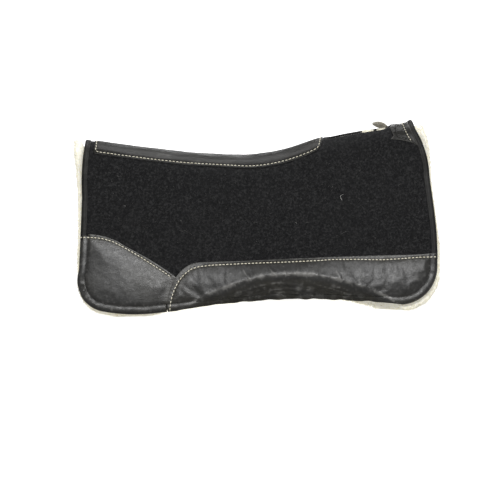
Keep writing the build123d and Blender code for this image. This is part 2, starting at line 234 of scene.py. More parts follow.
PAD_XZ = chain(
    [(-373.0, 377.0), (-373.4, 374.0)],
    arc3((-373.4, 374), (-379.4, 331), (-381.2, 262)),
    arc3((-381.2, 262), (-385.8, 186), (-391.4, 104)),
    arc3((-391.4, 104), (-379.6, 38.4), (-346.5, 17.4)),
    arc3((-346.5, 17.4), (-296, 9.8), (-237, 9.0)),
    arc3((-237, 9.0), (-120, 17.6), (5, 23.4)),
    arc3((5, 23.4), (160, 22.4), (311, 16.0)),
    arc3((311, 16.0), (369.6, 37.8), (395.4, 88)),
    arc3((395.4, 88), (396.8, 140), (391.8, 219.5)),
    [(391.8, 219.5), (384.2, 290)],
    arc3((384.2, 290), (375.6, 346), (352.6, 396.6)),
)
FLEECE_XZ = chain(
    [(-391.2, 377.0)],
    arc3((-391.4, 374), (-395.8, 360), (-394.6, 332)),
    [(-394.6, 332), (-390.9, 268)],
    arc3((-390.9, 268), (-391.4, 200), (-394.6, 130)),
    [(-394.6, 130), (-394.4, 84)],
    arc3((-394.4, 84), (-380.6, 31.5), (-341, 7.0)),
    [(-341, 7.0), (-310, 0.4), (-244, 0.4)],
    arc3((-244, 0.4), (-222, 4.6), (-190, 13.6)),
    arc3((-190, 13.6), (10, 28), (180, 25.0)),
    arc3((180, 25.0), (224, 15.6), (272, 0.4)),
    [(272, 0.4), (324, 0.4)],
    arc3((324, 0.4), (379.6, 25.4), (400.6, 80)),
    arc3((400.6, 80), (402.4, 130), (397.6, 185)),
    [(397.6, 185), (387.6, 286)],
    arc3((387.6, 286), (386.2, 330), (381, 366)),
    [(381, 366), (364, 392)],
)


def edge_line(xz, d, step=2.0):
    """Edge in (x, w), run right up to the crest at both ends."""
    p = to_xw(xz, d, 3.0)
    a = [p[0, 0] + 0.4, float(w_top(p[0, 0]))]
    b = [p[-1, 0] - 3.0, float(w_top(p[-1, 0] - 3.0))]
    p = np.vstack([[a], p, [b]])
    return even(soften(even(p, step), 6), step)


PAD = edge_line(PAD_XZ, 0.0)
PAD_N = inward(PAD)
FLEECE = edge_line(FLEECE_XZ, 20.0)


def inset(line, e):
    """The edge line moved e into the pad, without loops at its corners."""
    p = line + inward(line) * e
    d = dist_to(p, line)
    return p[d > abs(e) - 0.05]


def dist_to(p, line, closed=False):
    """Distance from each point to a polyline."""
    p = np.asarray(p, float)
    a = line
    b = np.roll(line, -1, 0) if closed else line[1:]
    if not closed:
        a = line[:-1]
    ab = b - a
    l2 = np.maximum((ab**2).sum(1), 1e-12)
    out = np.empty(len(p))
    for i in range(0, len(p), 4000):
        q = p[i:i + 4000, None, :] - a[None]
        t = np.clip((q * ab[None]).sum(2) / l2[None], 0, 1)
        out[i:i + 4000] = np.sqrt(((q - t[..., None] * ab[None])**2).sum(2).min(1))
    return out


def inside(p, poly):
    """Which points lie inside a closed polygon."""
    x, y = p[:, 0], p[:, 1]
    got = np.zeros(len(p), bool)
    n = len(poly)
    for i in range(n):
        x0, y0 = poly[i]
        x1, y1 = poly[(i + 1) % n]
        if y0 == y1:
            continue
        c = (y0 > y) != (y1 > y)
        got ^= c & (x < (x1 - x0) * (y - y0) / (y1 - y0) + x0)
    return got


# ---------------------------------------------------------------- sheet meshes
def triangulate(bound, spacing, extra=None, rings=()):
    """Triangles over a closed (x, w) polygon. Returns points, triangles, and the border's indices in order."""
    lo, hi = bound.min(0), bound.max(0)
    gx = np.arange(lo[0], hi[0], spacing)
    gy = np.arange(lo[1], hi[1], spacing * 0.866)
    X, Y = np.meshgrid(gx, gy)
    X[1::2] += spacing / 2
    pts = np.stack([X.ravel(), Y.ravel()], -1)
    pts = pts[inside(pts, bound)]
    d = dist_to(pts, bound, True)
    far = max([0.0] + [r for r in rings]) + spacing * 0.55
    pts = pts[d > far]
    more = []
    n = inward(np.vstack([bound, bound[:1]]))[:-1]
    if inside(bound[::7] + n[::7] * 0.6, bound).mean() < 0.5:
        n = -n
    for r in rings:
        q = bound + n * r
        ok = inside(q, bound)
        dd = dist_to(q, bound, True)
        more.append(q[ok & (dd > r * 0.93)])
    if extra is not None and len(extra):
        e = np.asarray(extra)
        e = e[inside(e, bound)]
        e = e[dist_to(e, bound, True) > 0.5]
        if len(e):
            keep = np.ones(len(pts), bool)
            for i in range(0, len(pts), 4000):
                dd = ((pts[i:i + 4000, None] - e[None])**2).sum(2).min(1)
                keep[i:i + 4000] = dd > (0.45 * spacing)**2
            pts = pts[keep]
            more.append(e)
    allp = np.vstack([bound, pts] + more)
    nb = len(bound)
    co = [Vector((float(a), float(b))) for a, b in allp]
    v, _, f, ov, _, _ = delaunay_2d_cdt(co, [], [list(range(nb))], 1, 1e-4)
    v = np.array([(a.x, a.y) for a in v])
    idx = {}
    for i, o in enumerate(ov):
        for k in o:
            idx[k] = i
    border = [idx[k] for k in range(nb) if k in idx]
    tris = [tuple(t) for t in f]
    return v, tris, border


def new_object(name, verts_mm, faces, material, collection=None):
    me = bpy.data.meshes.new(name)
    me.from_pydata((np.asarray(verts_mm) * 0.001).tolist(), [], faces)
    me.validate()
    bm = bmesh.new()
    bm.from_mesh(me)
    bmesh.ops.remove_doubles(bm, verts=bm.verts, dist=2e-6)
    bmesh.ops.recalc_face_normals(bm, faces=bm.faces)
    bm.to_mesh(me)
    bm.free()
    me.polygons.foreach_set("use_smooth", np.ones(len(me.polygons), bool))
    me.update()
    o = bpy.data.objects.new(name, me)
    bpy.context.scene.collection.objects.link(o)
    if material is not None:
        me.materials.append(material)
    return o


def orient(v2, tris, p3, d):
    """The triangles' 3-D normals, as cross products of their edges; d is not used."""
    t = np.array(tris)
    a, b, c = (p3[t[:, i]] for i in range(3))
    return np.cross(b - a, c - a)


class Build:
    """Collects vertices and faces of one piece."""

    def __init__(self):
        self.v, self.f, self.n = [], [], 0

    def add(self, verts, faces):
        k = self.n
        self.v.append(np.asarray(verts, float))
        self.f += [tuple(i + k for i in f) for f in faces]
        self.n += len(verts)
        return k

    def sheet(self, place, bound, spacing, back_spacing, front, back, extra=None, rings=(0.7, 1.8), back_rings=()):
        """A closed sheet: front(x, w, edge distance) and back give offsets, place makes points."""
        va, ta, ba = triangulate(bound, spacing, extra, rings)
        vb, tb, bb = triangulate(bound, back_spacing, None, back_rings)
        ea, eb = dist_to(va, bound, True), dist_to(vb, bound, True)
        pa = place(va[:, 0], va[:, 1], front(va[:, 0], va[:, 1], ea))
        pb = place(vb[:, 0], vb[:, 1], back(vb[:, 0], vb[:, 1], eb))
        k0 = self.add(pa, ta)
        k1 = self.add(pb, tb)
        n = min(len(ba), len(bb))
        for i in range(n):
            j = (i + 1) % n
            self.f.append((k0 + ba[i], k0 + ba[j], k1 + bb[j], k1 + bb[i]))
        return va, pa

    def band(self, place, line, normals, profile, thick=1.5, wob=None):
        """A strip wrapped round an edge: profile is (edge distance, offset) from front to back."""
        pr = np.asarray(profile, float)
        t = np.gradient(pr, axis=0)
        t /= np.hypot(t[:, 0], t[:, 1])[:, None]
        nn = np.stack([-t[:, 1], t[:, 0]], -1)
        mid = pr.mean(0) + np.array([3.0, 0])
        if ((pr + nn - mid)**2).sum() > ((pr - nn - mid)**2).sum():
            nn = -nn
        inner = pr + nn * thick
        ring = np.vstack([pr, inner[::-1]])
        m, n = len(ring), len(line)
        e = np.tile(ring[:, 0], (n, 1))
        d = np.tile(ring[:, 1], (n, 1))
        if wob is not None:
            de, dd = wob(line, e, d)
            outer = np.tile(np.r_[np.ones(len(pr)), 0.6 * np.ones(len(inner))], (n, 1))
            e, d = e + de * outer, d + dd * outer
        x = line[:, 0][:, None] + normals[:, 0][:, None] * e
        w = line[:, 1][:, None] + normals[:, 1][:, None] * e
        p = place(x.ravel(), w.ravel(), d.ravel())
        faces = []
        for i in range(n - 1):
            for j in range(m):
                k = (j + 1) % m
                faces.append((i * m + j, i * m + k, (i + 1) * m + k, (i + 1) * m + j))
        faces.append(tuple(range(m)))
        faces.append(tuple((n - 1) * m + j for j in range(m))[::-1])
        self.add(p, faces)

    def stitches(self, place, line, pitch=8.0, length=5.4, width=1.15, base=-2.0, rise=1.0, seed=1, lean=0.0, mirror_gap=None):
        """Separate stitches along a row, each a low arched thread whose ends dive into the sheet."""
        rng = np.random.default_rng(seed)
        s = np.concatenate([[0], np.cumsum(np.hypot(*np.diff(line, axis=0).T))])
        k = int((s[-1] - length) / pitch)
        for i in range(k + 1):
            c = length / 2 + i * pitch + rng.uniform(-0.35, 0.35)
            half = length / 2 * rng.uniform(0.92, 1.08)
            u = np.linspace(-1, 1, 7)
            at = c + u * half
            cx, cw = np.interp(at, s, line[:, 0]), np.interp(at, s, line[:, 1])
            tx, tw = np.gradient(cx), np.gradient(cw)
            nl = np.hypot(tx, tw)
            nx, nw = -tw / nl, tx / nl
            tilt = rng.uniform(-0.12, 0.12) + lean
            cx, cw = cx + nx * u * half * tilt, cw + nw * u * half * tilt
            lift = base - rise * (1 - np.abs(u)**3.2)
            prof = width / 2 * np.sqrt(np.clip(1 - np.abs(u)**6, 0.25, 1))
            ang = np.linspace(0, 2 * math.pi, 9)[:-1]
            x = cx[:, None] + nx[:, None] * prof[:, None] * np.cos(ang)
            w = cw[:, None] + nw[:, None] * prof[:, None] * np.cos(ang)
            d = lift[:, None] - prof[:, None] * 0.85 * np.sin(ang)
            p = place(x.ravel(), w.ravel(), d.ravel())
            f = []
            for a in range(6):
                for b in range(8):
                    c2 = (b + 1) % 8
                    f.append((a * 8 + b, a * 8 + c2, (a + 1) * 8 + c2, (a + 1) * 8 + b))
            f.append(tuple(range(8)))
            f.append(tuple(48 + b for b in range(8))[::-1])
            self.add(p, f)

    def make(self, name, material):
        return new_object(name, np.vstack(self.v), self.f, material)


# ---------------------------------------------------------------- shared shape of each side
def swell(x, w, side):
    """How far the whole sandwich stands proud of the plain surface: slow waves of a soft pad."""
    p = np.stack([x, w, np.full(x.shape, 40.0 * side)], -1)
    n = noise_at(p, 150.0, 3.0 + side) * 2.4 + noise_at(p, 60.0, 8.0 + side) * 0.7
    keep = smooth((w - w_top(x)) / 70.0) * 0.85 + 0.15
    n = n * keep
    # the crease of the curl draws a faint fan of folds above it
    dr = w - ridge(x)
    n = n + 0.8 * np.exp(-((dr + 16) / 12.0)**2) * smooth((250 - np.abs(x - CURL_X)) / 80)
    # the front binding's top corner stands up where it is gathered
    tip = np.exp(-((x - 349.0) / 11.0)**2 - ((w - w_top(x)) / 24.0)**2)
    return n + 6.5 * tip


_swell_cache = {}


def placer(side):
    def place(x, w, d):
        return surf(x, w, d - swell(x, w, side), side)
    return place


def crest_place(x, s, d):
    """Sheets over the crest: s is the distance over the crest, right side positive."""
    x, s, d = (np.asarray(v, float) for v in (x, s, d))
    w = w_top(x) + np.abs(s)
    right = s >= 0
    out = np.empty(x.shape + (3,))
    n = np.where(right, swell(x, w, -1), swell(x, w, 1))
    near = smooth(np.abs(s) / 18.0)
    mean = (swell(x, w, -1) + swell(x, w, 1)) / 2
    n = n * near + mean * (1 - near)
    a = surf(x, w, d - n, -1)
    b = surf(x, w, d - n, 1)
    return np.where(right[..., None], a, b)


def vent_w(x, half=VENT[2]):
    """Where the edge of the wither opening runs, measured down the surface."""
    x = np.asarray(x, float)
    r, zc, lt = arch(x)
    mid, rad = (VENT[0] + VENT[1]) / 2, half
    reach = (VENT[1] - VENT[0]) / 2 - rad
    over = np.maximum(np.abs(x - mid) - reach, 0)
    y = np.sqrt(np.maximum(rad**2 - over**2, 0))
    return -lt - r * (np.arccos(np.clip(y / r, -1, 1)) - SPLAY)


def top_border(x0, x1, grow=0.0, step=3.0):
    """The crest seam from x0 to x1, going round the opening where grow widens it."""
    a, b = VENT[0] - grow, VENT[1] + grow
    rad = VENT[2] + grow
    left = np.arange(min(x0, x1), a, step)
    t = np.linspace(math.pi, 0, 60)
    c0, c1 = a + rad, b - rad
    rim = [(c0 + rad * math.cos(k), rad * math.sin(k)) for k in np.linspace(math.pi, math.pi / 2, 14)]
    rim += [(c0 + (c1 - c0) * k, rad) for k in np.linspace(0, 1, 30)[1:-1]]
    rim += [(c1 + rad * math.cos(k), rad * math.sin(k)) for k in np.linspace(math.pi / 2, 0, 14)]
    rim = np.array(rim)
    r, zc, lt = arch(rim[:, 0])
    wr = -lt - r * (np.arccos(np.clip(rim[:, 1] / r, -1, 1)) - SPLAY)
    right = np.arange(b + step, max(x0, x1), step)
    p = [np.stack([left, w_top(left)], -1), np.stack([rim[:, 0], wr], -1), np.stack([right, w_top(right)], -1)]
    p = np.vstack(p)
    return p if x1 > x0 else p[::-1]


def pad_polygon(line, e, grow=0.0):
    """Closed polygon of one side: edge line drawn in by e, closed along the crest."""
    q = inset(line, e) if e > 0 else line
    q = even(q, 2.4)
    q[0, 1], q[-1, 1] = w_top(q[0, 0]), w_top(q[-1, 0])
    top = top_border(q[-1, 0], q[0, 0], grow)
    top = top[(top[:, 0] < q[-1, 0] - 2) & (top[:, 0] > q[0, 0] + 2)]
    return np.vstack([q, top])


# ---------------------------------------------------------------- materials
def nodes_of(name):
    m = bpy.data.materials.new(name)
    m.use_nodes = True
    nt = m.node_tree
    for n in list(nt.nodes):
        nt.nodes.remove(n)
    out = nt.nodes.new("ShaderNodeOutputMaterial")
    b = nt.nodes.new("ShaderNodeBsdfPrincipled")
    nt.links.new(b.outputs[0], out.inputs[0])
    return m, nt, b


class Net:
    def __init__(self, name):
        self.m, self.nt, self.b = nodes_of(name)
        self.co = self.nt.nodes.new("ShaderNodeTexCoord").outputs["Object"]

    def node(self, kind, **props):
        n = self.nt.nodes.new(kind)
        for k, v in props.items():
            setattr(n, k, v)
        return n

    def link(self, a, b):
        self.nt.links.new(a, b)

    def noise(self, mm, detail=3.0, rough=0.55, stretch=None, distort=0.0, w=0.0):
        n = self.node("ShaderNodeTexNoise", noise_dimensions="4D")
        n.inputs["W"].default_value = w
        n.inputs["Scale"].default_value = 1000.0 / mm
        n.inputs["Detail"].default_value = detail
        n.inputs["Roughness"].default_value = rough
        n.inputs["Distortion"].default_value = distort
        self.link(self.stretched(stretch), n.inputs["Vector"])
        return n.outputs["Fac"]

    def stretched(self, stretch):
        if stretch is None:
            return self.co
        m = self.node("ShaderNodeMapping")
        m.inputs["Scale"].default_value = stretch
        self.link(self.co, m.inputs["Vector"])
        return m.outputs[0]

    def voronoi(self, mm, feature="F1", stretch=None, rand=1.0):
        n = self.node("ShaderNodeTexVoronoi", feature=feature)
        n.inputs["Scale"].default_value = 1000.0 / mm
        n.inputs["Randomness"].default_value = rand
        self.link(self.stretched(stretch), n.inputs["Vector"])
        return n.outputs["Distance"]

    def ramp(self, fac, stops):
        r = self.node("ShaderNodeValToRGB")
        el = r.color_ramp.elements
        while len(el) < len(stops):
            el.new(0.5)
        for e, (pos, col) in zip(el, stops):
            e.position = pos
            e.color = tuple(col) + (1.0,) if len(col) == 3 else col
        self.link(fac, r.inputs[0])
        return r.outputs[0]

    def curve(self, fac, a, b, c=0.0, d=1.0):
        n = self.node("ShaderNodeMapRange")
        n.clamp = True
        for k, v in zip(("From Min", "From Max", "To Min", "To Max"), (a, b, c, d)):
            n.inputs[k].default_value = v
        self.link(fac, n.inputs["Value"])
        return n.outputs["Result"]

    def math(self, op, a, b=None):
        n = self.node("ShaderNodeMath", operation=op)
        for i, v in enumerate((a, b)):
            if v is None:
                continue
            if isinstance(v, (int, float)):
                n.inputs[i].default_value = v
            else:
                self.link(v, n.inputs[i])
        return n.outputs[0]

    def mix(self, fac, a, b, blend="MIX"):
        n = self.node("ShaderNodeMix", data_type="RGBA", blend_type=blend)
        for k, v in (("Factor", fac), ("A", a), ("B", b)):
            sock = next(s for s in n.inputs if s.name == k and (k == "Factor" and s.type == "VALUE" or k != "Factor" and s.type == "RGBA"))
            if isinstance(v, (int, float)):
                sock.default_value = v
            elif isinstance(v, (tuple, list)):
                sock.default_value = tuple(v) + (1.0,)
            else:
                self.link(v, sock)
        return next(s for s in n.outputs if s.type == "RGBA")

    def attr(self, name):
        n = self.node("ShaderNodeAttribute", attribute_name=name)
        return n.outputs["Fac"]

    def bump(self, height, strength, dist_mm, prev=None):
        n = self.node("ShaderNodeBump")
        n.inputs["Strength"].default_value = strength
        n.inputs["Distance"].default_value = dist_mm * 0.001
        self.link(height, n.inputs["Height"])
        if prev is not None:
            self.link(prev, n.inputs["Normal"])
        return n.outputs[0]

    def set(self, **kv):
        for k, v in kv.items():
            sock = self.b.inputs[k.replace("_", " ")]
            if isinstance(v, (int, float)):
                sock.default_value = v
            elif isinstance(v, (tuple, list)):
                sock.default_value = tuple(v) + ((1.0,) if len(v) == 3 and len(sock.default_value) == 4 else ())
            else:
                self.link(v, sock)


def felt_material():
    n = Net("black_felt")
    fibre = n.noise(3.4, 6.0, 0.72, distort=2.0)
    fibre2 = n.noise(0.9, 3.0, 0.6, stretch=(1.0, 1.0, 0.4), distort=3.0, w=3.0)
    cloud = n.noise(70.0, 3.0, 0.6, w=1.0)
    mott = n.noise(8.0, 5.0, 0.7, distort=1.4, w=2.0)
    base = n.ramp(fibre, [(0.32, (0.0024, 0.0025, 0.0029)), (0.52, (0.011, 0.0111, 0.0117)), (0.68, (0.043, 0.043, 0.0435))])
    grain = n.noise(4.6, 2.0, 0.6, distort=0.6, w=12.0)
    base = n.mix(n.curve(grain, 0.50, 0.66, 0.0, 0.8), base, (0.042, 0.042, 0.0425))
    base = n.mix(n.curve(grain, 0.30, 0.46, 0.6, 0.0), base, (0.003, 0.003, 0.0034))
    base = n.mix(n.curve(cloud, 0.35, 0.75, 0.0, 0.3), base, (0.017, 0.017, 0.0175))
    base = n.mix(n.curve(mott, 0.5, 0.78, 0.0, 0.45), base, (0.026, 0.0258, 0.0258))
    hair = n.curve(n.noise(6.0, 2.0, 0.5, stretch=(0.35, 1.0, 2.4), distort=4.0, w=8.0), 0.66, 0.73)
    base = n.mix(n.math("MULTIPLY", hair, 0.45), base, (0.07, 0.068, 0.066))
    h = n.math("ADD", n.math("MULTIPLY", fibre, 0.6), n.math("MULTIPLY", fibre2, 0.4))
    nb = n.bump(mott, 0.5, 1.2)
    nb = n.bump(h, 0.85, 0.6, nb)
    n.set(Base_Color=base, Roughness=0.96, Specular_IOR_Level=0.12, Sheen_Weight=0.07, Sheen_Roughness=0.6,
          Sheen_Tint=(0.6, 0.6, 0.63), Normal=nb)
    return n.m


def leather_material(name, dark, mid, light, warm, scale=1.0, rough=(0.36, 0.6), grain=0.35, highlight_streak_level=0.5, spec=0.5):
    """Worn leather: mottled dye, pebbled grain, fine creases, painted highlight streaks, lighter where worn; per-vertex
    values add painted highlights and painted shading.
    """
    n = Net(name)
    cloud = n.noise(46.0 * scale, 4.0, 0.6, distort=0.6)
    fine = n.noise(7.0 * scale, 5.0, 0.65, distort=1.2, w=2.0)
    # Stretched noise for lighter, glossier streaks: painted highlight streaks along the leather.
    highlight_streaks = n.noise(16.0, 4.0, 0.6, stretch=(0.28, 1.0, 1.0), distort=0.8, w=4.0)
    cell = n.voronoi(1.5 * scale)
    cell2 = n.voronoi(3.6 * scale, "DISTANCE_TO_EDGE")
    base = n.ramp(cloud, [(0.28, dark), (0.5, mid), (0.75, light)])
    base = n.mix(n.curve(fine, 0.5, 0.72, 0.0, 0.7), base, light)
    base = n.mix(n.curve(fine, 0.28, 0.46, 0.7, 0.0), base, dark)
    # Painted highlight streaks, their strength set per leather.
    base = n.mix(n.curve(highlight_streaks, 0.52, 0.78, 0.0, highlight_streak_level), base, light)
    warmth = n.noise(90.0, 2.0, 0.5, w=7.0)
    base = n.mix(n.curve(warmth, 0.42, 0.68, 0.0, 0.75), base, warm)
    # Lighter where the per-vertex value is set: real wear, and painted highlights on the ridge, crease crests, raw
    # edges and spine streaks.
    wear_and_highlight = n.attr("wear_and_highlight")
    base = n.mix(n.math("MULTIPLY", wear_and_highlight, 0.85), base, tuple(min(1.0, c * 2.9) for c in light))
    base = n.mix(n.math("MULTIPLY", n.attr("olive"), 0.8), base, tuple(c * 1.5 for c in warm))
    pore = n.curve(n.voronoi(2.3 * scale), 0.0, 0.16, 1.0, 0.0)
    base = n.mix(n.math("MULTIPLY", pore, 0.4), base, tuple(c * 0.5 for c in dark))
    # Painted shade: darker, rougher and less glossy where the per-vertex value asks for it.
    painted_shade = n.attr("painted_shade")
    base = n.mix(n.math("MULTIPLY", painted_shade, 0.55), base, tuple(c * 0.6 for c in dark))
    r = n.curve(fine, 0.3, 0.7, rough[0], rough[1])
    r = n.math("ADD", r, n.math("MULTIPLY", painted_shade, 0.16))
    strong_wear_highlight = n.curve(wear_and_highlight, 0.25, 0.9)
    r = n.math("ADD", r, n.math("MULTIPLY", n.curve(highlight_streaks, 0.4, 0.7, 0.0, 1.0), -0.05))
    nb = n.bump(n.noise(11.0 * scale, 3.0, 0.55, stretch=(0.6, 1.0, 1.2), distort=1.5, w=9.0), 0.4, 0.9)
    nb = n.bump(cell, grain, 0.25 * scale, nb)
    nb = n.bump(n.curve(cell2, 0.0, 0.12), grain * 0.7, 0.18, nb)
    # Strongest lighter patches from the same per-vertex value: painted highlight, partly real wear.
    base = n.mix(n.math("MULTIPLY", strong_wear_highlight, 0.75), base, tuple(min(1.0, c * 5.0) for c in light))
    n.set(Base_Color=base, Roughness=r, Specular_IOR_Level=n.math("MULTIPLY", n.curve(painted_shade, 0.0, 1.0, 1.0, 0.42), spec), Normal=nb, Coat_Weight=0.08 * spec, Coat_Roughness=0.3)
    return n.m


def fleece_material(name="cream_fleece", lift=1.0):
    n = Net(name)
    lump = n.noise(7.0, 4.0, 0.65, distort=1.6)
    curl = n.noise(2.2, 4.0, 0.7, distort=3.0, w=5.0)
    cloud = n.noise(60.0, 2.0, 0.5, w=3.0)
    # Darker between the lumps and in the curl hollows: painted shade in the gaps.
    base = n.ramp(lump, [(0.30, (0.42, 0.385, 0.29)), (0.47, (0.84, 0.81, 0.68)), (0.66, (1.0, 0.985, 0.91))])
    base = n.mix(n.curve(cloud, 0.35, 0.7, 0.0, 0.35), base, (0.92, 0.90, 0.80))
    base = n.mix(n.curve(curl, 0.34, 0.5, 0.55, 0.0), base, (0.50, 0.46, 0.35))
    nb = n.bump(lump, 0.6, 2.2)
    nb = n.bump(curl, 0.8, 1.2, nb)
    # Emission: the fleece glows faintly, painted light that keeps the wool bright.
    n.set(Base_Color=base, Roughness=0.92, Specular_IOR_Level=0.2, Sheen_Weight=0.5, Sheen_Roughness=0.5,
          Sheen_Tint=(1.0, 0.97, 0.9), Normal=nb, Emission_Color=base, Emission_Strength=0.42, Subsurface_Weight=0.25, Subsurface_Scale=0.004,
          Subsurface_Radius=(1.0, 0.85, 0.6))
    return n.m


def thread_material(name, base, dirt, rough=0.6):
    n = Net(name)
    ply = n.node("ShaderNodeTexWave", wave_type="BANDS", bands_direction="DIAGONAL")
    ply.inputs["Scale"].default_value = 420.0
    ply.inputs["Distortion"].default_value = 1.2
    n.link(n.co, ply.inputs["Vector"])
    vary = n.noise(14.0, 2.0, 0.5)
    col = n.mix(n.curve(vary, 0.35, 0.7, 0.0, 0.8), base, dirt)
    col = n.mix(n.math("MULTIPLY", ply.outputs["Fac"], 0.25), col, tuple(c * 0.55 for c in base))
    # Pale thread glows faintly: painted light that brightens the stitch rows.
    n.set(Base_Color=col, Roughness=rough, Specular_IOR_Level=0.35, Normal=n.bump(ply.outputs["Fac"], 0.6, 0.2),
          Emission_Color=col, Emission_Strength=0.12 if base[0] > 0.5 else 0.0)
    return n.m


def core_material():
    n = Net("cushion_core")
    f = n.noise(1.6, 4.0, 0.65, distort=2.0)
    col = n.ramp(f, [(0.3, (0.22, 0.21, 0.19)), (0.7, (0.38, 0.365, 0.34))])
    n.set(Base_Color=col, Roughness=0.95, Normal=n.bump(f, 0.6, 0.5), Sheen_Weight=0.2)
    return n.m


FELT = felt_material()
WEAR = leather_material("wear_leather", (0.005, 0.0048, 0.0044), (0.013, 0.0127, 0.0118), (0.042, 0.041, 0.0388), (0.021, 0.019, 0.0125),
                        rough=(0.29, 0.50), spec=0.62)
SPINE = leather_material("spine_leather", (0.003, 0.0029, 0.0027), (0.006, 0.0058, 0.0053), (0.020, 0.0195, 0.018), (0.010, 0.009, 0.006),
                         rough=(0.34, 0.52), highlight_streak_level=0.4, spec=0.27)
BIND = leather_material("binding_leather", (0.004, 0.0039, 0.0037), (0.008, 0.0078, 0.0074), (0.019, 0.0187, 0.0178), (0.010, 0.0092, 0.007),
                        scale=0.8, rough=(0.5, 0.68), highlight_streak_level=0.3, spec=0.3)
FLEECE_M = fleece_material()
CORE_M = core_material()
PALE = thread_material("pale_thread", (0.95, 0.91, 0.76), (0.74, 0.68, 0.50))
DARK = thread_material("dark_thread", (0.010, 0.0095, 0.009), (0.018, 0.017, 0.015), 0.5)


def fibre_material():
    n = Net("lint_fibre")
    v = n.math("MULTIPLY", n.attr("tone"), n.curve(n.noise(4.0, 2.0, 0.5), 0.3, 0.7, 0.6, 1.3))
    n.set(Base_Color=n.ramp(v, [(0.0, (0.010, 0.010, 0.010)), (1.0, (0.80, 0.79, 0.75))]), Roughness=0.85, Specular_IOR_Level=0.15)
    return n.m


FIBRE = fibre_material()


def lock_material():
    # Grey-beige copy of the wool: painted shade for the lock lying in shadow.
    n = Net("shaded_wool")
    v = n.noise(9.0, 3.0, 0.6, stretch=(0.3, 1.0, 1.0))
    col = n.ramp(v, [(0.3, (0.24, 0.22, 0.175)), (0.55, (0.46, 0.43, 0.35)), (0.75, (0.72, 0.69, 0.60))])
    n.set(Base_Color=col, Roughness=0.85, Specular_IOR_Level=0.2, Sheen_Weight=0.2)
    return n.m


LOCK_M = lock_material()


# ---------------------------------------------------------------- feature lines, as (x, z) in side view
FRONT_TOP = chain(
    [(-198.2, 6.0), (-198.2, 18.6)], arc3((-198.2, 18.6), (-191, 62), (-168.8, 95.2)),
    arc3((-168.8, 95.2), (-150.8, 108.6), (-128, 114.4)),
    [(-90, 115.2), (-40, 115.6), (27, 116.9), (66, 118.2), (138, 119.6), (200, 120.6), (275, 120.8), (346, 120.4), (384, 122.4), (400, 123.2)])
REAR_TOP = chain([(-396, 177.6), (-386, 178.4), (-372, 180.6)], arc3((-372, 180.6), (-342, 177.0), (-305.5, 163.8)),
                 [(-286, 152), (-262.8, 139.2), (-243.6, 128.6), (-220.4, 114.3), (-197.3, 98.8), (-176, 83), (-160, 70)])
FRONT_ROW = [(-193.4, 14.0), (-191, 31.9), (-186.7, 47.2), (-180.5, 61.9), (-172.4, 75.8), (-160.4, 89.6), (-146.3, 99.8),
             (-129.6, 105.2), (-100.2, 108.0), (-51.2, 109.4), (-12.2, 110.4), (66, 111.2), (138.4, 113.2), (168, 114.6), (220.4, 113.6),
             (272.7, 111.4), (304.4, 112.2), (357, 114.9), (397.5, 114.8)]
REAR_ROW = [(-388, 173.8), (-360.3, 173.2), (-338, 170.5), (-316, 163.8), (-301.7, 156.3), (-282.2, 145.3), (-255.2, 129.2),
            (-228.2, 111.4), (-207, 97.6), (-190.4, 85.8)]
SPINE_LOW = chain([(-350.4, 352.4)], arc3((-350.4, 352.4), (-200, 329.8), (-20, 313.4)), arc3((-20, 313.4), (60, 321.4), (136, 346.6)))
DEEP = 20.0


def xw_line(points, step=1.5, ease=4):
    return soften(even(to_xw(points, 0.0, 2.0), step), ease)


front_top, rear_top = xw_line(FRONT_TOP), xw_line(REAR_TOP)
front_row, rear_row = xw_line(FRONT_ROW), xw_line(REAR_ROW)
HEM = 17.0


def hem_polygon(raw, at_start, at_end):
    """Panel inside the hem: the raw edge where it is clear of the hem, closed along the hem's inner line."""
    keep = dist_to(raw, PAD) > HEM - 0.4
    raw = raw[keep]
    inner = inset(PAD, HEM - 0.4)
    inner = even(inner, 2.0)
    i = int(((inner - raw[0])**2).sum(1).argmin())
    j = int(((inner - raw[-1])**2).sum(1).argmin())
    path = inner[min(i, j) + 1:max(i, j)]
    if j > i:
        path = path[::-1]
    return np.vstack([even(raw, 2.0), path])


def pad_part(cond):
    k = np.where(cond(PAD))[0]
    return PAD[k[0]:k[-1] + 1], PAD_N[k[0]:k[-1] + 1]


def pucker(line, e, d, size, pitch, seed, corner=0.0):
    """Slow waves and small gathers along a bound edge."""
    s = np.concatenate([[0], np.cumsum(np.hypot(*np.diff(line, axis=0).T))])
    p = np.stack([s, np.zeros_like(s), np.full_like(s, seed)], -1)
    slow = noise_at(p, 42.0, seed)
    fast = noise_at(p, pitch, seed + 5)
    near = np.exp(-((e - 15.0) / 4.5)**2)
    body = smooth((16.0 - e) / 6.0)
    dd = size * (0.55 * slow[:, None] * body + 0.75 * fast[:, None] * (near + 0.45 * body))
    de = 0.5 * size * slow[:, None] * smooth((8 - e) / 8) * 0.9
    if corner:
        bend = np.hypot(*np.gradient(np.gradient(line, axis=0), axis=0).T)
        bend = np.convolve(bend, np.ones(15) / 15, "same")
        k = smooth(bend / max(bend.max() * 0.6, 1e-9))
        g = noise_at(np.stack([s, s * 0, np.full_like(s, seed + 2)], -1), 15.0, seed + 9)
        dd = dd + corner * (k * g)[:, None] * smooth((17 - e) / 5) * smooth((e + 3) / 4)
    return de, -dd


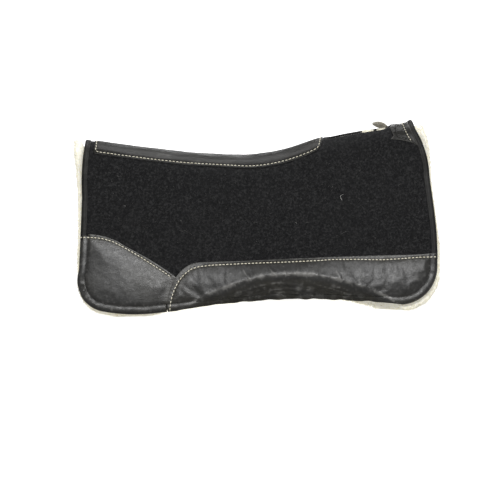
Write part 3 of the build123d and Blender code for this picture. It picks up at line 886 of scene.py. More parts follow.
HEM_PROFILE = [(HEM + 0.4, -1.3), (HEM - 0.6, -1.45), (HEM - 1.8, -2.0), (14.0, -2.4), (11.0, -2.75), (8.0, -2.8), (5.4, -2.4),
               (3.2, -1.6), (1.5, -0.2), (0.5, 1.6), (0.0, 3.8), (-0.2, 7.4), (0.0, 11.4), (0.7, 14.2), (2.1, 16.2), (4.4, 17.0),
               (8.0, 17.0), (12.0, 16.8), (14.0, 16.4)]
BIND_PROFILE = [(13.2, -0.7), (12.9, -1.5), (12.0, -2.0), (10.6, -1.7), (9.6, -1.75), (8.4, -2.3), (6.4, -2.5), (4.2, -2.1), (2.3, -1.1),
                (0.9, 0.7), (0.2, 3.2), (-0.2, 6.6), (-0.1, 10.2), (0.5, 13.2), (1.9, 15.6), (4.2, 16.9), (7.5, 17.0), (11.0, 16.8), (13.0, 16.4)]


def groove(x, w, lines):
    """Dip of the leather under its stitch rows, puckered at the stitch pitch."""
    p = np.stack([x, w], -1)
    out = np.zeros(len(p))
    for line, depth, pitch in lines:
        d = dist_to(p, line)
        m = d < 9
        if not m.any():
            continue
        s = np.concatenate([[0], np.cumsum(np.hypot(*np.diff(line, axis=0).T))])
        near = ((p[m][:, None] - line[None, ::3])**2).sum(2).argmin(1) * 3
        ph = s[np.minimum(near, len(s) - 1)]
        out[m] += depth * np.exp(-(d[m] / 1.5)**2) + 0.28 * np.cos(2 * math.pi * ph / pitch) * np.exp(-((d[m] - 3.2) / 2.4)**2)
    return out


def near_points(line, offs=(-2.6, -1.3, 0.0, 1.3, 2.6)):
    n = inward(line)
    return np.vstack([line + n * o for o in offs])


def wrinkles(x, w, side, seed):
    """Leather's own creases: fan folds round the curl, buckles under it, fine lines dragged across it."""
    dr = w - ridge(x)
    p = np.stack([x, w, np.full(x.shape, seed)], -1)
    reach = smooth((270 - np.abs(x - CURL_X)) / 60)
    sharp = 1.6 * np.exp(-np.abs(dr + 7.0) / 4.5) * reach
    under = smooth((dr - 6) / 20) * reach
    q = np.stack([x * 1.0 + w * 0.55, w * 0.35, np.full(x.shape, seed + 4.0)], -1)
    buckle = np.abs(noise_at(q, 34.0, seed + 1)) * 2.6 - 0.7
    above = np.exp(-((dr + 26) / 20.0)**2) * reach
    q2 = np.stack([x * 0.7 - w * 0.3, w * 1.2, np.full(x.shape, seed + 7.0)], -1)
    fan = noise_at(q2, 44.0, seed + 2) * 1.1
    fine = noise_at(p, 16.0, seed + 3, 2) * 0.22
    soft = noise_at(p, 56.0, seed + 6) * 1.25 + noise_at(p, 28.0, seed + 16) * 0.45
    return sharp + under * np.maximum(buckle, -0.2) + above * fan + fine + soft


# sharp creases pressed into the front leather round the curl, as (x, w)
CREASES = [np.array(c, float) for c in (
    [(-33, 192), (-26, 206), (-13, 222)], [(22, 188), (30, 203), (44, 213)], [(172, 196), (176, 210), (186, 231)],
    [(-84, 216), (-60, 206), (-52, 204)], [(58, 190), (66, 204), (70, 211)], [(132, 186), (120, 205), (112, 212)],
    [(-46, 251), (-4, 236), (32, 229), (74, 231), (102, 236)], [(-18, 262), (26, 250), (70, 246), (122, 252)],
    [(112, 229), (146, 240), (182, 253), (206, 266)], [(36, 262), (62, 257), (96, 262)], [(150, 232), (186, 243), (222, 256)])]


def crease_lift(x, w, side):
    q = np.stack([x - (0.0 if side < 0 else 9.0), w], -1)
    out, top = np.zeros(len(q)), np.zeros(len(q))
    for k, c in enumerate(CREASES):
        c = even(soften(even(c, 4.0), 5), 4.0)
        d = dist_to(q, c)
        m = d < 14
        along = np.hypot(*(q[m] - c[len(c) // 2]).T) / (0.5 * np.hypot(*(c[-1] - c[0])) + 3)
        f = smooth((1.15 - along) / 0.7) * (1.0 if k < 6 else 1.35)
        size = (0.8, 0.9, 0.8, 0.5, 0.3, 0.4)[k] if k < 6 else (1.25, 0.7, 1.25, 0.9, 0.6)[k - 6]
        out[m] += f * size * (np.exp(-(d[m] / 2.6)**2) - 0.4 * np.exp(-((d[m] - 6.5) / 3.4)**2))
        top[m] = np.maximum(top[m], f * min(size, 1.0) * np.exp(-(d[m] / 1.7)**2))
    return out, top


def add_attr(o, name, values):
    a = o.data.attributes.new(name, "FLOAT", "POINT")
    a.data.foreach_set("value", np.asarray(values, np.float32))


def set_wear_light_attrs(o, fn, olive=None, painted_shade=None):
    # Per-vertex values for the leather: wear with painted highlight, painted shade, and olive tone.
    co = np.zeros(len(o.data.vertices) * 3, np.float32)
    o.data.vertices.foreach_get("co", co)
    add_attr(o, "wear_and_highlight", np.clip(fn(co.reshape(-1, 3) * 1000.0), 0, 1))
    if painted_shade is not None:
        add_attr(o, "painted_shade", np.clip(painted_shade(co.reshape(-1, 3) * 1000.0), 0, 1))
    if olive is not None:
        add_attr(o, "olive", np.clip(olive(co.reshape(-1, 3) * 1000.0), 0, 1))


# ---------------------------------------------------------------- settling a loose sheet over the pad
def settle(name, place, x0, x1, w0, w1, spacing, pinned, grow, frames=26, start=-2.3, base=-0.2, seed=1.0):
    """Lets a slightly oversize sheet buckle over the pad and gives back its lift off the plain surface."""
    nx, nw = int(round((x1 - x0) / spacing)) + 1, int(round((w1 - w0) / spacing)) + 1
    gx, gw = np.linspace(x0, x1, nx), np.linspace(w0, w1, nw)
    X, W = np.meshgrid(gx, gw)
    X, W = X.ravel(), W.ravel()
    out = np.zeros((nw, nx))

    def read(x, w):
        fx = np.clip((np.asarray(x, float) - x0) / (x1 - x0) * (nx - 1), 0, nx - 1.001)
        fw = np.clip((np.asarray(w, float) - w0) / (w1 - w0) * (nw - 1), 0, nw - 1.001)
        i, j = fx.astype(int), fw.astype(int)
        a, b = fx - i, fw - j
        a, b = a * a * (3 - 2 * a), b * b * (3 - 2 * b)
        return (out[j, i] * (1 - a) * (1 - b) + out[j, i + 1] * a * (1 - b)
                + out[j + 1, i] * (1 - a) * b + out[j + 1, i + 1] * a * b)

    p0 = place(X, W, start)
    pn = place(X, W, start - 1.0) - p0
    pn /= np.linalg.norm(pn, axis=1)[:, None]
    pin = pinned(X, W)
    jitter = noise_at(np.stack([X, W, X * 0 + seed], -1), 24.0, seed) * 0.5 * (1 - pin)
    faces = [(j * nx + i, j * nx + i + 1, (j + 1) * nx + i + 1, (j + 1) * nx + i) for j in range(nw - 1) for i in range(nx - 1)]
    if (np.cross(p0[1] - p0[0], p0[nx] - p0[0]) * pn[0]).sum() < 0:
        faces = [f[::-1] for f in faces]

    def raw(label, pts):
        me = bpy.data.meshes.new(label)
        me.from_pydata((pts * 0.001).tolist(), [], faces)
        me.update()
        ob = bpy.data.objects.new(label, me)
        bpy.context.scene.collection.objects.link(ob)
        return ob

    body_ob = raw(name + "_under", place(X, W, base))
    cm = body_ob.modifiers.new("hit", "COLLISION")
    body_ob.collision.thickness_outer = 0.0008
    body_ob.collision.cloth_friction = 12.0
    sheet = raw(name + "_loose", p0 + pn * np.maximum(jitter, -0.8)[:, None])
    g = sheet.vertex_groups.new(name="pin")
    for k, v in enumerate(pin):
        g.add([k], float(v), "REPLACE")
    cl = sheet.modifiers.new("cloth", "CLOTH")
    st = cl.settings
    st.quality = 6
    st.mass = 0.35
    st.tension_stiffness = st.compression_stiffness = 30.0
    st.shear_stiffness = 12.0
    st.bending_stiffness = 1.2
    st.tension_damping = st.compression_damping = 12.0
    st.air_damping = 4.0
    st.vertex_group_mass = "pin"
    st.pin_stiffness = 6.0
    st.shrink_min = st.shrink_max = -grow
    st.effector_weights.gravity = 0.15
    cl.collision_settings.use_collision = True
    cl.collision_settings.distance_min = 0.0008
    cl.collision_settings.collision_quality = 3
    cl.point_cache.frame_start, cl.point_cache.frame_end = 1, frames
    sc = bpy.context.scene
    for f in range(1, frames + 1):
        sc.frame_set(f)
    ev = sheet.evaluated_get(bpy.context.evaluated_depsgraph_get())
    co = np.zeros(len(X) * 3, np.float32)
    ev.data.vertices.foreach_get("co", co)
    got = co.reshape(-1, 3).astype(float) * 1000.0
    lift = ((got - p0) * pn).sum(1)
    bad = ~np.isfinite(lift)
    lift[bad] = 0.0
    lift = np.clip(lift, -0.9, 4.2) * (1 - pin)
    out[:] = lift.reshape(nw, nx)
    print("SETTLED", name, "lift", round(float(lift.min()), 2), round(float(lift.max()), 2), "bad", int(bad.sum()))
    for ob in (sheet, body_ob):
        me = ob.data
        bpy.data.objects.remove(ob, do_unlink=True)
        bpy.data.meshes.remove(me)
    sc.frame_set(1)
    return read


# ---------------------------------------------------------------- the two sides
made = {}
FLEX_A, FLEX_B = -20.0, 62.0


def bend(o, side, body):
    a = surf(np.array([0.0]), np.array([FLEX_A]), 0.0, side)[0] * 0.001
    b = surf(np.array([0.0]), np.array([FLEX_B]), 0.0, side)[0] * 0.001
    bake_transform(o)


for side, tag in ((-1, "right"), (1, "left")):
    place = placer(side)
    body = "flap_" + tag
    seed = 11.0 if side < 0 else 29.0

    # felt
    b = Build()
    poly = pad_polygon(PAD, 7.0)

    def felt_front(x, w, e):
        p = np.stack([x, w, np.full(x.shape, seed)], -1)
        fuzz = noise_at(p, 13.0, seed) * 0.28 + noise_at(p, 5.0, seed + 3) * 0.16
        # pressed down under the leathers' and bindings' edges, plump beside them
        return -fuzz - 0.5 * np.exp(-((e - 11.0) / 5.0)**2) + 1.0 * (1 - smooth(e / 2.0))

    b.sheet(place, poly, 4.2, 12.0, felt_front, lambda x, w, e: np.full(x.shape, 6.0), rings=(1.0, 2.4))
    o = b.make("felt_sheet_" + tag, FELT)
    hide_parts("crest_felt_" + tag, "felt_" + tag)
    bend(o, side, body)

    # cushion core
    b = Build()
    b.sheet(place, pad_polygon(PAD, 5.0, 1.0), 11.0, 14.0, lambda x, w, e: 6.4 + 0.8 * (1 - smooth(e / 3.0)),
            lambda x, w, e: 14.9 - 0.8 * (1 - smooth(e / 3.0)), rings=())
    o = b.make("core_sheet_" + tag, CORE_M)
    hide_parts("crest_core_" + tag, "core_" + tag)
    bend(o, side, body)

    # fleece
    b = Build()
    poly = pad_polygon(FLEECE, 0.0, -1.6)
    lump = noise_at(np.stack([poly[:, 0], poly[:, 1], np.full(len(poly), seed)], -1), 9.5, seed + 21)
    outside_pad = dist_to(poly, PAD) * np.where(inside(poly, np.vstack([PAD, top_border(PAD[-1, 0], PAD[0, 0])])), -1, 1)
    nn = inward(np.vstack([poly, poly[:1]]))[:-1]
    poly = poly + nn * (lump * 1.7 * smooth((outside_pad - 3.0) / 4.0) * (poly[:, 1] - w_top(poly[:, 0]) > 3))[:, None]

    def spill(x, w):
        """How far the fleece swells outward where it shows past the binding."""
        q = np.stack([x, w], -1)
        out = dist_to(q, PAD) * np.where(inside(q, np.vstack([PAD, top_border(PAD[-1, 0], PAD[0, 0])])), -1, 1)
        up = smooth((130.0 - (w - w_top(x))) / 110.0)
        return smooth((out - 1.2) / 7.0) * (3.5 + np.where(x < 0, 10.5, 7.0) * up)

    def pile(x, w, seed=seed):
        p = np.stack([x, w, np.full(x.shape, seed)], -1)
        return np.abs(noise_at(p, 9.0, seed + 1)) * 2.6 + noise_at(p, 4.2, seed + 2) * 0.9 + noise_at(p, 30.0, seed + 4) * 0.8

    def fleece_inner(x, w, e):
        h = np.sqrt(np.clip(1 - (1 - np.clip(e / 6.5, 0, 1))**2, 0, 1))
        return 22.2 - spill(x, w) * 0.75 + (5.4 - 1.6) * h + pile(x, w) * (0.35 + 0.65 * h)

    def fleece_outer(x, w, e):
        h = np.sqrt(np.clip(1 - (1 - np.clip(e / 6.5, 0, 1))**2, 0, 1))
        out = smooth((9.0 - e) / 5.0)
        return 22.2 - spill(x, w) * 1.0 - 4.9 * h - pile(x, w, seed + 7) * (0.2 + 0.55 * out) * h

    def on_floor(x, w, d):
        p = place(x, w, d)
        low = p[:, 2] < 0.4
        p[low, 2] = 0.4 + 0.25 * np.abs(np.sin(p[low, 0] * 0.9))
        return p

    b.sheet(on_floor, poly, 3.1, 5.0, fleece_inner, fleece_outer, rings=(1.2, 2.6, 4.4), back_rings=(1.2, 2.6, 4.4, 7.0))
    o = b.make("fleece_lining_" + tag, FLEECE_M)
    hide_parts("crest_fleece_" + tag, "fleece_" + tag)
    bend(o, side, body)

    # wear leathers: panel and turned hem
    front_lift = 0.9

    hem_front = np.array(HEM_PROFILE[:11])[::-1]

    def hem_gap(x, w):
        """How much lower (in d) the turned hem lies than the panel's plain level, 0 away from the hem."""
        e = dist_to(np.stack([x, w], -1), PAD)
        return np.where(e < HEM, np.interp(e, hem_front[:, 0], hem_front[:, 1]) + 2.2, 0.8 * (1 - smooth((e - HEM) / 5.0)))

    def puff(x, w, raw, first=5.0, size=4.6, reach=58.0):
        q = np.stack([x, w], -1)
        t = np.minimum(np.clip((dist_to(q, raw) - first) / reach, 0, 1), np.clip((dist_to(q, PAD) - HEM + 3) / reach, 0, 1))
        hollow = 1 - 0.75 * np.exp(-((x - 48.0) / 85.0)**2) * (raw is front_top)
        return size * (1 - (1 - t)**2) * hollow

    def front_pin(x, w):
        q = np.stack([x, w], -1)
        free = inside(q, np.vstack([front_row, PAD[k0:k1 + 1][::-1]])) & (dist_to(q, front_row) > 4) & (dist_to(q, PAD) > HEM + 3)
        return np.where(free, 0.0, 1.0)

    k0 = int(((PAD - front_top[0])**2).sum(1).argmin())
    k1 = int(((PAD - front_top[-1])**2).sum(1).argmin())
    lo_f, hi_f = PAD[k0:k1 + 1].min(0), PAD[k0:k1 + 1].max(0)
    loose_front = settle("front_" + tag, place, lo_f[0] - 5, hi_f[0] + 5, front_row[:, 1].min() - 5, hi_f[1] + 5, 5.0, front_pin, 0.022,
                         seed=seed)

    def front_extra(x, w):
        """Everything that lifts the front leather off its plain level, apart from stitch dips."""
        hem = smooth((dist_to(np.stack([x, w], -1), PAD) - HEM) / 5.0)
        return (wrinkles(x, w, side, seed) * hem + loose_front(x, w) * 0.6 + crease_lift(x, w, side)[0] * hem + puff(x, w, front_top)
                + front_lift * smooth((-140.0 - x) / 30.0) * smooth(dist_to(np.stack([x, w], -1), PAD) / 4))

    def front_face(x, w, e):
        r = groove(x, w, [(front_row, 0.7, 8.0)])
        hem = smooth((dist_to(np.stack([x, w], -1), PAD) - HEM) / 5.0)
        return -2.2 - front_extra(x, w) + r + 0.5 * (1 - smooth(e / 1.6)) + 0.8 * (1 - hem)

    def front_back(x, w, e):
        return front_face(x, w, e) + 1.9

    rx = np.arange(-140.0, 290.0, 2.2)
    ridge_line = np.stack([rx, ridge(rx)], -1)
    if inward(ridge_line)[5, 1] < 0:
        ridge_line = ridge_line[::-1]
    b = Build()
    poly = hem_polygon(front_top, 0, 1)
    va, pa = b.sheet(place, poly, 4.0, 9.0, front_face, lambda x, w, e: np.full(x.shape, -0.3) - front_lift * smooth((-140.0 - x) / 30.0) * 0.9,
                     extra=np.vstack([near_points(front_row), near_points(ridge_line, (-9.5, -7.0, -4.5))]), rings=(0.7, 1.8))
    line, nrm = PAD[k0:k1 + 1], PAD_N[k0:k1 + 1]

    def front_hem(l, e, d):
        de, dd = pucker(l, e, d, 0.8, 14.0, seed + 1, 0.9)
        # the slack lower edge under the curl runs in shallow waves
        slack = smooth((210 - np.abs(l[:, 0] - 80)) / 60.0)
        wave = (1.5 * np.sin(l[:, 0] * 2 * math.pi / 55.0 + 0.6 + seed) + 0.9 * np.sin(l[:, 0] * 2 * math.pi / 31.0 + 2.0)
                + noise_at(np.stack([l[:, 0], l[:, 0] * 0, l[:, 0] * 0 + seed], -1), 22.0, seed + 14) * 1.2)
        return de + (slack * wave)[:, None] * smooth((14.0 - e) / 12.0), dd - (slack * wave * 0.35)[:, None] * smooth((16.0 - e) / 10.0)

    b.band(place, line, nrm, HEM_PROFILE, wob=front_hem)
    o = b.make("front_wear_leather_piece_" + tag, WEAR)
    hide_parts("front_wear_leather_" + tag)

    def front_wear_and_highlight(p):
        # Lighter leather: painted highlight along the curl's ridge and on the crease crests, partly real wear there; a
        # lighter raw edge, small worn mottles, and lighter patches under the curl.
        x, z = p[:, 0], p[:, 2]
        w = w_at(x, z, -2.0)
        dr = w - ridge(x)
        reach = smooth((270 - np.abs(x - CURL_X)) / 60)
        n = noise_at(np.stack([x, w, x * 0], -1), 18.0, seed + 8, 2)
        edge = np.exp(-(dist_to(np.stack([x, w], -1), front_top) / 1.3)**2)
        m = noise_at(np.stack([x, w, x * 0 + 5.0], -1), 7.0, seed + 18, 2)
        return (1.15 * np.exp(-((dr + 7.5) / 3.6)**2) * reach * (0.62 + 0.8 * n) + 0.5 * edge + 0.34 * smooth((m - 0.3) / 0.3)
                + 0.8 * crease_lift(x, w, side)[1] * np.where(dr < 2, 0.9, 0.5)
                + 0.35 * smooth((dr - 4) / 8) * reach * smooth((n + 0.05) / 0.35))

    def front_olive(p):
        x, z = p[:, 0], p[:, 2]
        w = w_at(x, z, -2.0)
        q = np.stack([x, w], -1)
        n = noise_at(np.stack([x, w, x * 0], -1), 26.0, seed + 28, 2)
        under = smooth((w - ridge(x)) / 8.0) * smooth((260 - np.abs(x - CURL_X)) / 60)
        return np.exp(-(dist_to(q, front_row) / 6.5)**2) * (0.7 + 0.5 * n) + 0.6 * under * (0.6 + n)

    def front_painted_shade(p):
        # Painted shade: darker between the stitch row and the ridge in the middle, and just below the row.
        x, z = p[:, 0], p[:, 2]
        w = w_at(x, z, -2.0)
        q = np.stack([x, w], -1)
        n = noise_at(np.stack([x, w, x * 0 + 2.0], -1), 30.0, seed + 38, 2)
        middle = np.exp(-((x - 40.0) / 105.0)**2) * smooth((ridge(x) - 8 - w) / 10.0)
        sewn = np.exp(-(dist_to(q, front_row) / 13.0)**2) * smooth((w - front_top[:, 1].min() - 4) / 10)
        return middle * (0.95 + 0.5 * n) + 0.45 * sewn * (x > -120)

    set_wear_light_attrs(o, front_wear_and_highlight, front_olive, front_painted_shade)
    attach(o, body)

    def rear_extra(x, w):
        p = np.stack([x, w, np.full(x.shape, seed)], -1)
        hem = smooth((dist_to(np.stack([x, w], -1), PAD) - HEM) / 5.0)
        soft = noise_at(p, 58.0, seed + 5) * 0.9 + noise_at(p, 17.0, seed + 6, 2) * 0.3
        edge = smooth((dist_to(np.stack([x, w], -1), front_top) - 3.0) / 22.0)
        return soft * hem + puff(x, w, rear_top) * edge

    def rear_face(x, w, e):
        r = groove(x, w, [(rear_row, 0.7, 8.0)])
        hem = smooth((dist_to(np.stack([x, w], -1), PAD) - HEM) / 5.0)
        return -2.2 - rear_extra(x, w) + r + 0.5 * (1 - smooth(e / 1.6)) + 0.8 * (1 - hem)

    b = Build()
    under = front_top + inward(front_top) * -2.5          # runs a little under the front leather
    junction = int(((rear_top[:, None] - under[None])**2).sum(2).min(1).argmin())
    jf = int(((under - rear_top[junction])**2).sum(1).argmin())
    raw = np.vstack([rear_top[:junction], under[:jf][::-1]])
    poly = hem_polygon(raw, 0, 1)
    b.sheet(place, poly, 4.0, 9.0, rear_face, lambda x, w, e: np.full(x.shape, -0.3), extra=near_points(rear_row))
    k2 = int(((PAD - rear_top[0])**2).sum(1).argmin())
    line, nrm = PAD[k2:k0 - 0], PAD_N[k2:k0 - 0]
    def rear_hem(l, e, d):
        de, dd = pucker(l, e, d, 0.9, 14.0, seed + 2, 1.7)
        s = np.concatenate([[0], np.cumsum(np.hypot(*np.diff(l, axis=0).T))])
        z = surf(l[:, 0], l[:, 1], 0.0)[:, 2]
        s0 = s[int(np.abs(z - 62.0).argmin())]
        fold = -2.6 * np.exp(-((s - s0 - 5) / 4.5)**2) + 2.0 * np.exp(-((s - s0 + 5) / 4.5)**2)
        return de + 0.4 * np.abs(fold)[:, None] * smooth((9 - e) / 8), dd + fold[:, None] * smooth((16 - e) / 6) * smooth((e + 3) / 4)

    b.band(place, line, nrm, HEM_PROFILE, wob=rear_hem)
    o = b.make("rear_wear_leather_piece_" + tag, WEAR)
    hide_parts("rear_wear_leather_" + tag)

    def rear_rub(p):
        x, z = p[:, 0], p[:, 2]
        w = w_at(x, z, -2.0)
        q = np.stack([x, w], -1)
        n = noise_at(np.stack([x, w, x * 0], -1), 22.0, seed + 9, 2)
        edge = np.exp(-(dist_to(q, rear_top) / 1.3)**2)
        hem = np.exp(-((dist_to(q, PAD) - 9.0) / 4.5)**2)
        m = noise_at(np.stack([x, w, x * 0 + 5.0], -1), 6.0, seed + 18, 2)
        return 0.4 * edge + hem * (0.12 + 0.3 * n) + 0.35 * smooth((m - 0.3) / 0.3)

    def rear_olive(p):
        x, z = p[:, 0], p[:, 2]
        q = np.stack([x, w_at(x, z, -2.0)], -1)
        n = noise_at(np.stack([x, z, x * 0], -1), 26.0, seed + 28, 2)
        return np.exp(-(dist_to(q, rear_row) / 6.0)**2) * (0.6 + 0.5 * n) + 0.8 * np.exp(-(dist_to(q, front_row) / 14.0)**2)

    set_wear_light_attrs(o, rear_rub, rear_olive)
    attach(o, body)

    # edge bindings, in one piece from the crest down to the wear leather
    k3 = k2 + 6
    b = Build()
    b.band(place, PAD[:k3], PAD_N[:k3], BIND_PROFILE, wob=lambda l, e, d: pucker(l, e, d, 0.7, 9.0, seed + 3))
    o = b.make("rear_binding_strip_" + tag, BIND)
    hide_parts("rear_binding_" + tag, *(["rear_binding_crest"] if side < 0 else []))
    set_wear_light_attrs(o, lambda p: 0.25 * (noise_at(p, 25.0, seed + 3) > 0.1))
    bend(o, side, body)

    k4 = k1 - 6
    b = Build()

    def front_wob(l, e, d):
        de, dd = pucker(l, e, d, 0.75, 9.0, seed + 4)
        top = smooth((40.0 - (l[:, 1] - w_top(l[:, 0]))) / 30.0)[:, None]
        s = np.concatenate([[0], np.cumsum(np.hypot(*np.diff(l, axis=0).T))])
        g = noise_at(np.stack([s, s * 0, s * 0 + seed], -1), 7.5, seed + 12)[:, None]
        return de, dd - top * (1.3 * g)

    b.band(place, PAD[k4:], PAD_N[k4:], BIND_PROFILE, wob=front_wob)
    o = b.make("front_binding_strip_" + tag, BIND)
    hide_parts("front_binding_" + tag, *(["front_binding_crest"] if side < 0 else []))
    set_wear_light_attrs(o, lambda p: 0.25 * (noise_at(p, 25.0, seed + 5) > 0.1))
    bend(o, side, body)

    # stitch rows
    def front_thread_place(x, w, d):
        return place(x, w, d - front_extra(x, w) + hem_gap(x, w))

    b = Build()
    b.stitches(front_thread_place, front_row, width=2.0, base=-1.2, rise=1.45, seed=int(seed))
    o = b.make("front_wear_stitches_" + tag, PALE)
    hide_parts("front_wear_stitching_" + tag)
    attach(o, body)

    def rear_thread_place(x, w, d):
        return place(x, w, d - rear_extra(x, w) + hem_gap(x, w))

    b = Build()
    b.stitches(rear_thread_place, rear_row, width=2.0, base=-1.2, rise=1.45, seed=int(seed) + 1)
    o = b.make("rear_wear_stitches_" + tag, PALE)
    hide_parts("rear_wear_stitching_" + tag)
    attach(o, body)

    b = Build()
    hem_line = inset(PAD[k2 + 8:k1 - 8], HEM - 0.2)
    b.stitches(place, even(hem_line, 1.5), pitch=7.0, length=4.8, width=0.9, base=-0.7, rise=0.7, seed=int(seed) + 2)
    o = b.make("hem_stitches_" + tag, DARK)
    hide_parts("hem_stitching_" + tag)
    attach(o, body)

    b = Build()
    for part in (PAD[4:k3 - 8], PAD[k4 + 8:-4]):
        b.stitches(place, even(inset(part, 10.1), 1.5), pitch=6.5, length=4.6, width=0.85, base=-1.3, rise=0.8, seed=int(seed) + 3)
    o = b.make("binding_stitches_" + tag, DARK)
    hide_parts("binding_stitching_" + tag)
    bend(o, side, body)

    # fleece pile: loose curls that break up the rim and the underside
    rng = np.random.default_rng(int(seed) + 5)
    rim = even(FLEECE, 0.8)
    rim_n = inward(rim)
    tufts = []
    pick = rng.integers(0, len(rim), 6500)
    ee = rng.uniform(0.5, 9.5, len(pick))
    bases = rim[pick] + rim_n[pick] * ee[:, None]
    sp = spill(bases[:, 0], bases[:, 1])
    for k, e, base, up in zip(pick, ee, bases, sp):
        sgn = rng.choice([1.0, 1.0, -1.0])
        off = math.sqrt(max(0.0, 1 - (1 - min(e / 6.5, 1))**2)) * 4.4 * sgn
        d0 = 22.2 - up * (0.95 if sgn > 0 else 0.75) - off
        tufts.append((base[0], base[1], d0, -rim_n[k][0] * 0.8, -rim_n[k][1] * 0.8, -off * 0.10))
    inner_poly = pad_polygon(FLEECE, 6.0, 2.0)
    n_in = 0
    lo, hi = inner_poly.min(0), inner_poly.max(0)
    cand = np.stack([rng.uniform(lo[0], hi[0], 5200), rng.uniform(lo[1], hi[1], 5200)], -1)
    cand = cand[inside(cand, inner_poly)][:3600]
    for q in cand:
        ang = rng.uniform(0, 2 * math.pi)
        tufts.append((q[0], q[1], 26.6, math.cos(ang) * 0.8, math.sin(ang) * 0.8, 0.9))
    T = np.array(tufts)
    n = len(T)
    segs = 5
    L = rng.uniform(3.5, 8.0, n)
    turn = rng.uniform(0.6, 2.6, n) * rng.choice([-1, 1], n)
    phase = rng.uniform(0, 2 * math.pi, n)
    rows = []
    for j in range(segs + 1):
        t = j / segs
        along = L * t * (1 - 0.25 * t)
        curl = 1.5 * np.sin(turn * t * 3.0 + phase) - 1.5 * np.sin(phase)
        curl2 = 1.2 * np.cos(turn * t * 3.0 + phase) - 1.2 * np.cos(phase)
        x = T[:, 0] + T[:, 3] * along - T[:, 4] * curl
        w = T[:, 1] + T[:, 4] * along + T[:, 3] * curl
        d = T[:, 2] + T[:, 5] * along * 0.8 + curl2 * 0.8
        rows.append((x, w, d))
    rad = 0.46
    V, F = [], []
    centre = np.stack([place(x, w, d) for x, w, d in rows], 1)
    tang = np.gradient(centre, axis=1)
    tang /= np.maximum(np.linalg.norm(tang, axis=2, keepdims=True), 1e-9)
    ref = np.array([0.31, 0.52, 0.79])
    u1 = np.cross(tang, ref)
    u1 /= np.maximum(np.linalg.norm(u1, axis=2, keepdims=True), 1e-9)
    u2 = np.cross(tang, u1)
    taper = (np.array([1.0, 1.0, 0.95, 0.8, 0.6, 0.25]) * rad)[None, :, None]
    ringv = [centre + taper * (u1 * math.cos(a) + u2 * math.sin(a)) for a in (0, 2.0944, 4.18879)]
    V = np.stack(ringv, 2).reshape(-1, 3)
    lowest = V[:, 2] < 0.3
    V[lowest, 2] = 0.3 + rng.uniform(0, 0.4, lowest.sum())
    m = (segs + 1) * 3
    tmpl = []
    for j in range(segs):
        for a in range(3):
            c = (a + 1) % 3
            tmpl.append((j * 3 + a, j * 3 + c, (j + 1) * 3 + c, (j + 1) * 3 + a))
    tmpl.append((2, 1, 0))
    tmpl.append((segs * 3, segs * 3 + 1, segs * 3 + 2))
    F = [tuple(i + k * m for i in f) for k in range(n) for f in tmpl]
    o = new_object("fleece_curls_" + tag, V, F, FLEECE_M)
    bend(o, side, body)

    # loose fibres and lint on the felt
    n = 2600
    poly = pad_polygon(PAD, 15.0, 3.0)
    lo, hi = poly.min(0), poly.max(0)
    cand = np.stack([rng.uniform(lo[0], hi[0], n * 2), rng.uniform(lo[1], hi[1], n * 2)], -1)
    cand = cand[inside(cand, poly)]
    zz = surf(cand[:, 0], cand[:, 1], 0.0)[:, 2]
    clear = (zz > 128) & ~((zz < 184) & (cand[:, 0] < -200)) & (cand[:, 1] > w_top(cand[:, 0]) + 62)
    cand = cand[clear][:n]
    n = len(cand)
    kind = rng.uniform(0, 1, n)
    L = np.where(kind < 0.982, rng.uniform(1.2, 4.5, n), rng.uniform(5.0, 13.0, n))
    tone = np.where(kind < 0.90, rng.uniform(0.02, 0.10, n), np.where(kind < 0.982, rng.uniform(0.10, 0.34, n), rng.uniform(0.07, 0.22, n)))
    thick = np.where(kind < 0.965, rng.uniform(0.07, 0.14, n), rng.uniform(0.10, 0.17, n))
    ang = rng.uniform(0, 2 * math.pi, n)
    cv = np.where(kind < 0.965, rng.uniform(-0.25, 0.25, n), rng.uniform(-0.5, 0.5, n))
    if side < 0:
        # the few that catch the eye: a bent white hair, a speck, two long curved ones
        for x, w, l, t, k, a, c in ((190.0, 49.0, 9.5, 1.0, 0.42, -1.95, 0.02), (186.4, 40.0, 8.5, 1.0, 0.36, -0.75, 0.1), (-287.5, 50.0, 1.5, 1.0, 0.55, 0.3, 0.0),
                                    (-168.0, 108.0, 15.0, 0.40, 0.17, 0.25, -0.25), (-160.0, 112.0, 11.0, 0.34, 0.15, -0.3, 0.2), (109.0, 97.0, 8.0, 0.42, 0.18, -0.6, 0.3),
                                    (87.0, 96.0, 3.0, 0.6, 0.3, 0.4, 0.2), (257.0, 129.0, 9.0, 0.36, 0.17, 0.9, 0.1), (186.0, 124.0, 14.0, 0.32, 0.15, -0.6, 0.1),
                                    (315.0, 18.0, 8.0, 0.32, 0.16, -0.7, 0.3), (-8.0, 92.0, 13.0, 0.30, 0.15, 0.1, 0.05), (-47.0, 4.0, 5.0, 0.3, 0.15, 0.2, 0.2),
                                    (-304.0, -17.0, 6.0, 0.3, 0.16, 0.1, 0.3)):
            cand = np.vstack([cand, [x, w]])
            L, tone, thick = np.append(L, l), np.append(tone, t), np.append(thick, k)
            ang, cv = np.append(ang, a), np.append(cv, c)
        n = len(cand)
    rows = []
    rise = rng.uniform(0.2, 1.0, n)
    x, w = cand[:, 0].copy(), cand[:, 1].copy()
    for j in range(5):
        t = j / 4
        rows.append((x.copy(), w.copy(), -0.55 - 0.8 * math.sin(math.pi * t) * rise))
        x = x + np.cos(ang + cv * j) * L / 4
        w = w + np.sin(ang + cv * j) * L / 4
    centre = np.stack([place(x, w, d) for x, w, d in rows], 1)
    tang = np.gradient(centre, axis=1)
    tang /= np.maximum(np.linalg.norm(tang, axis=2, keepdims=True), 1e-9)
    u1 = np.cross(tang, ref)
    u1 /= np.maximum(np.linalg.norm(u1, axis=2, keepdims=True), 1e-9)
    u2 = np.cross(tang, u1)
    thick = thick[:, None, None]
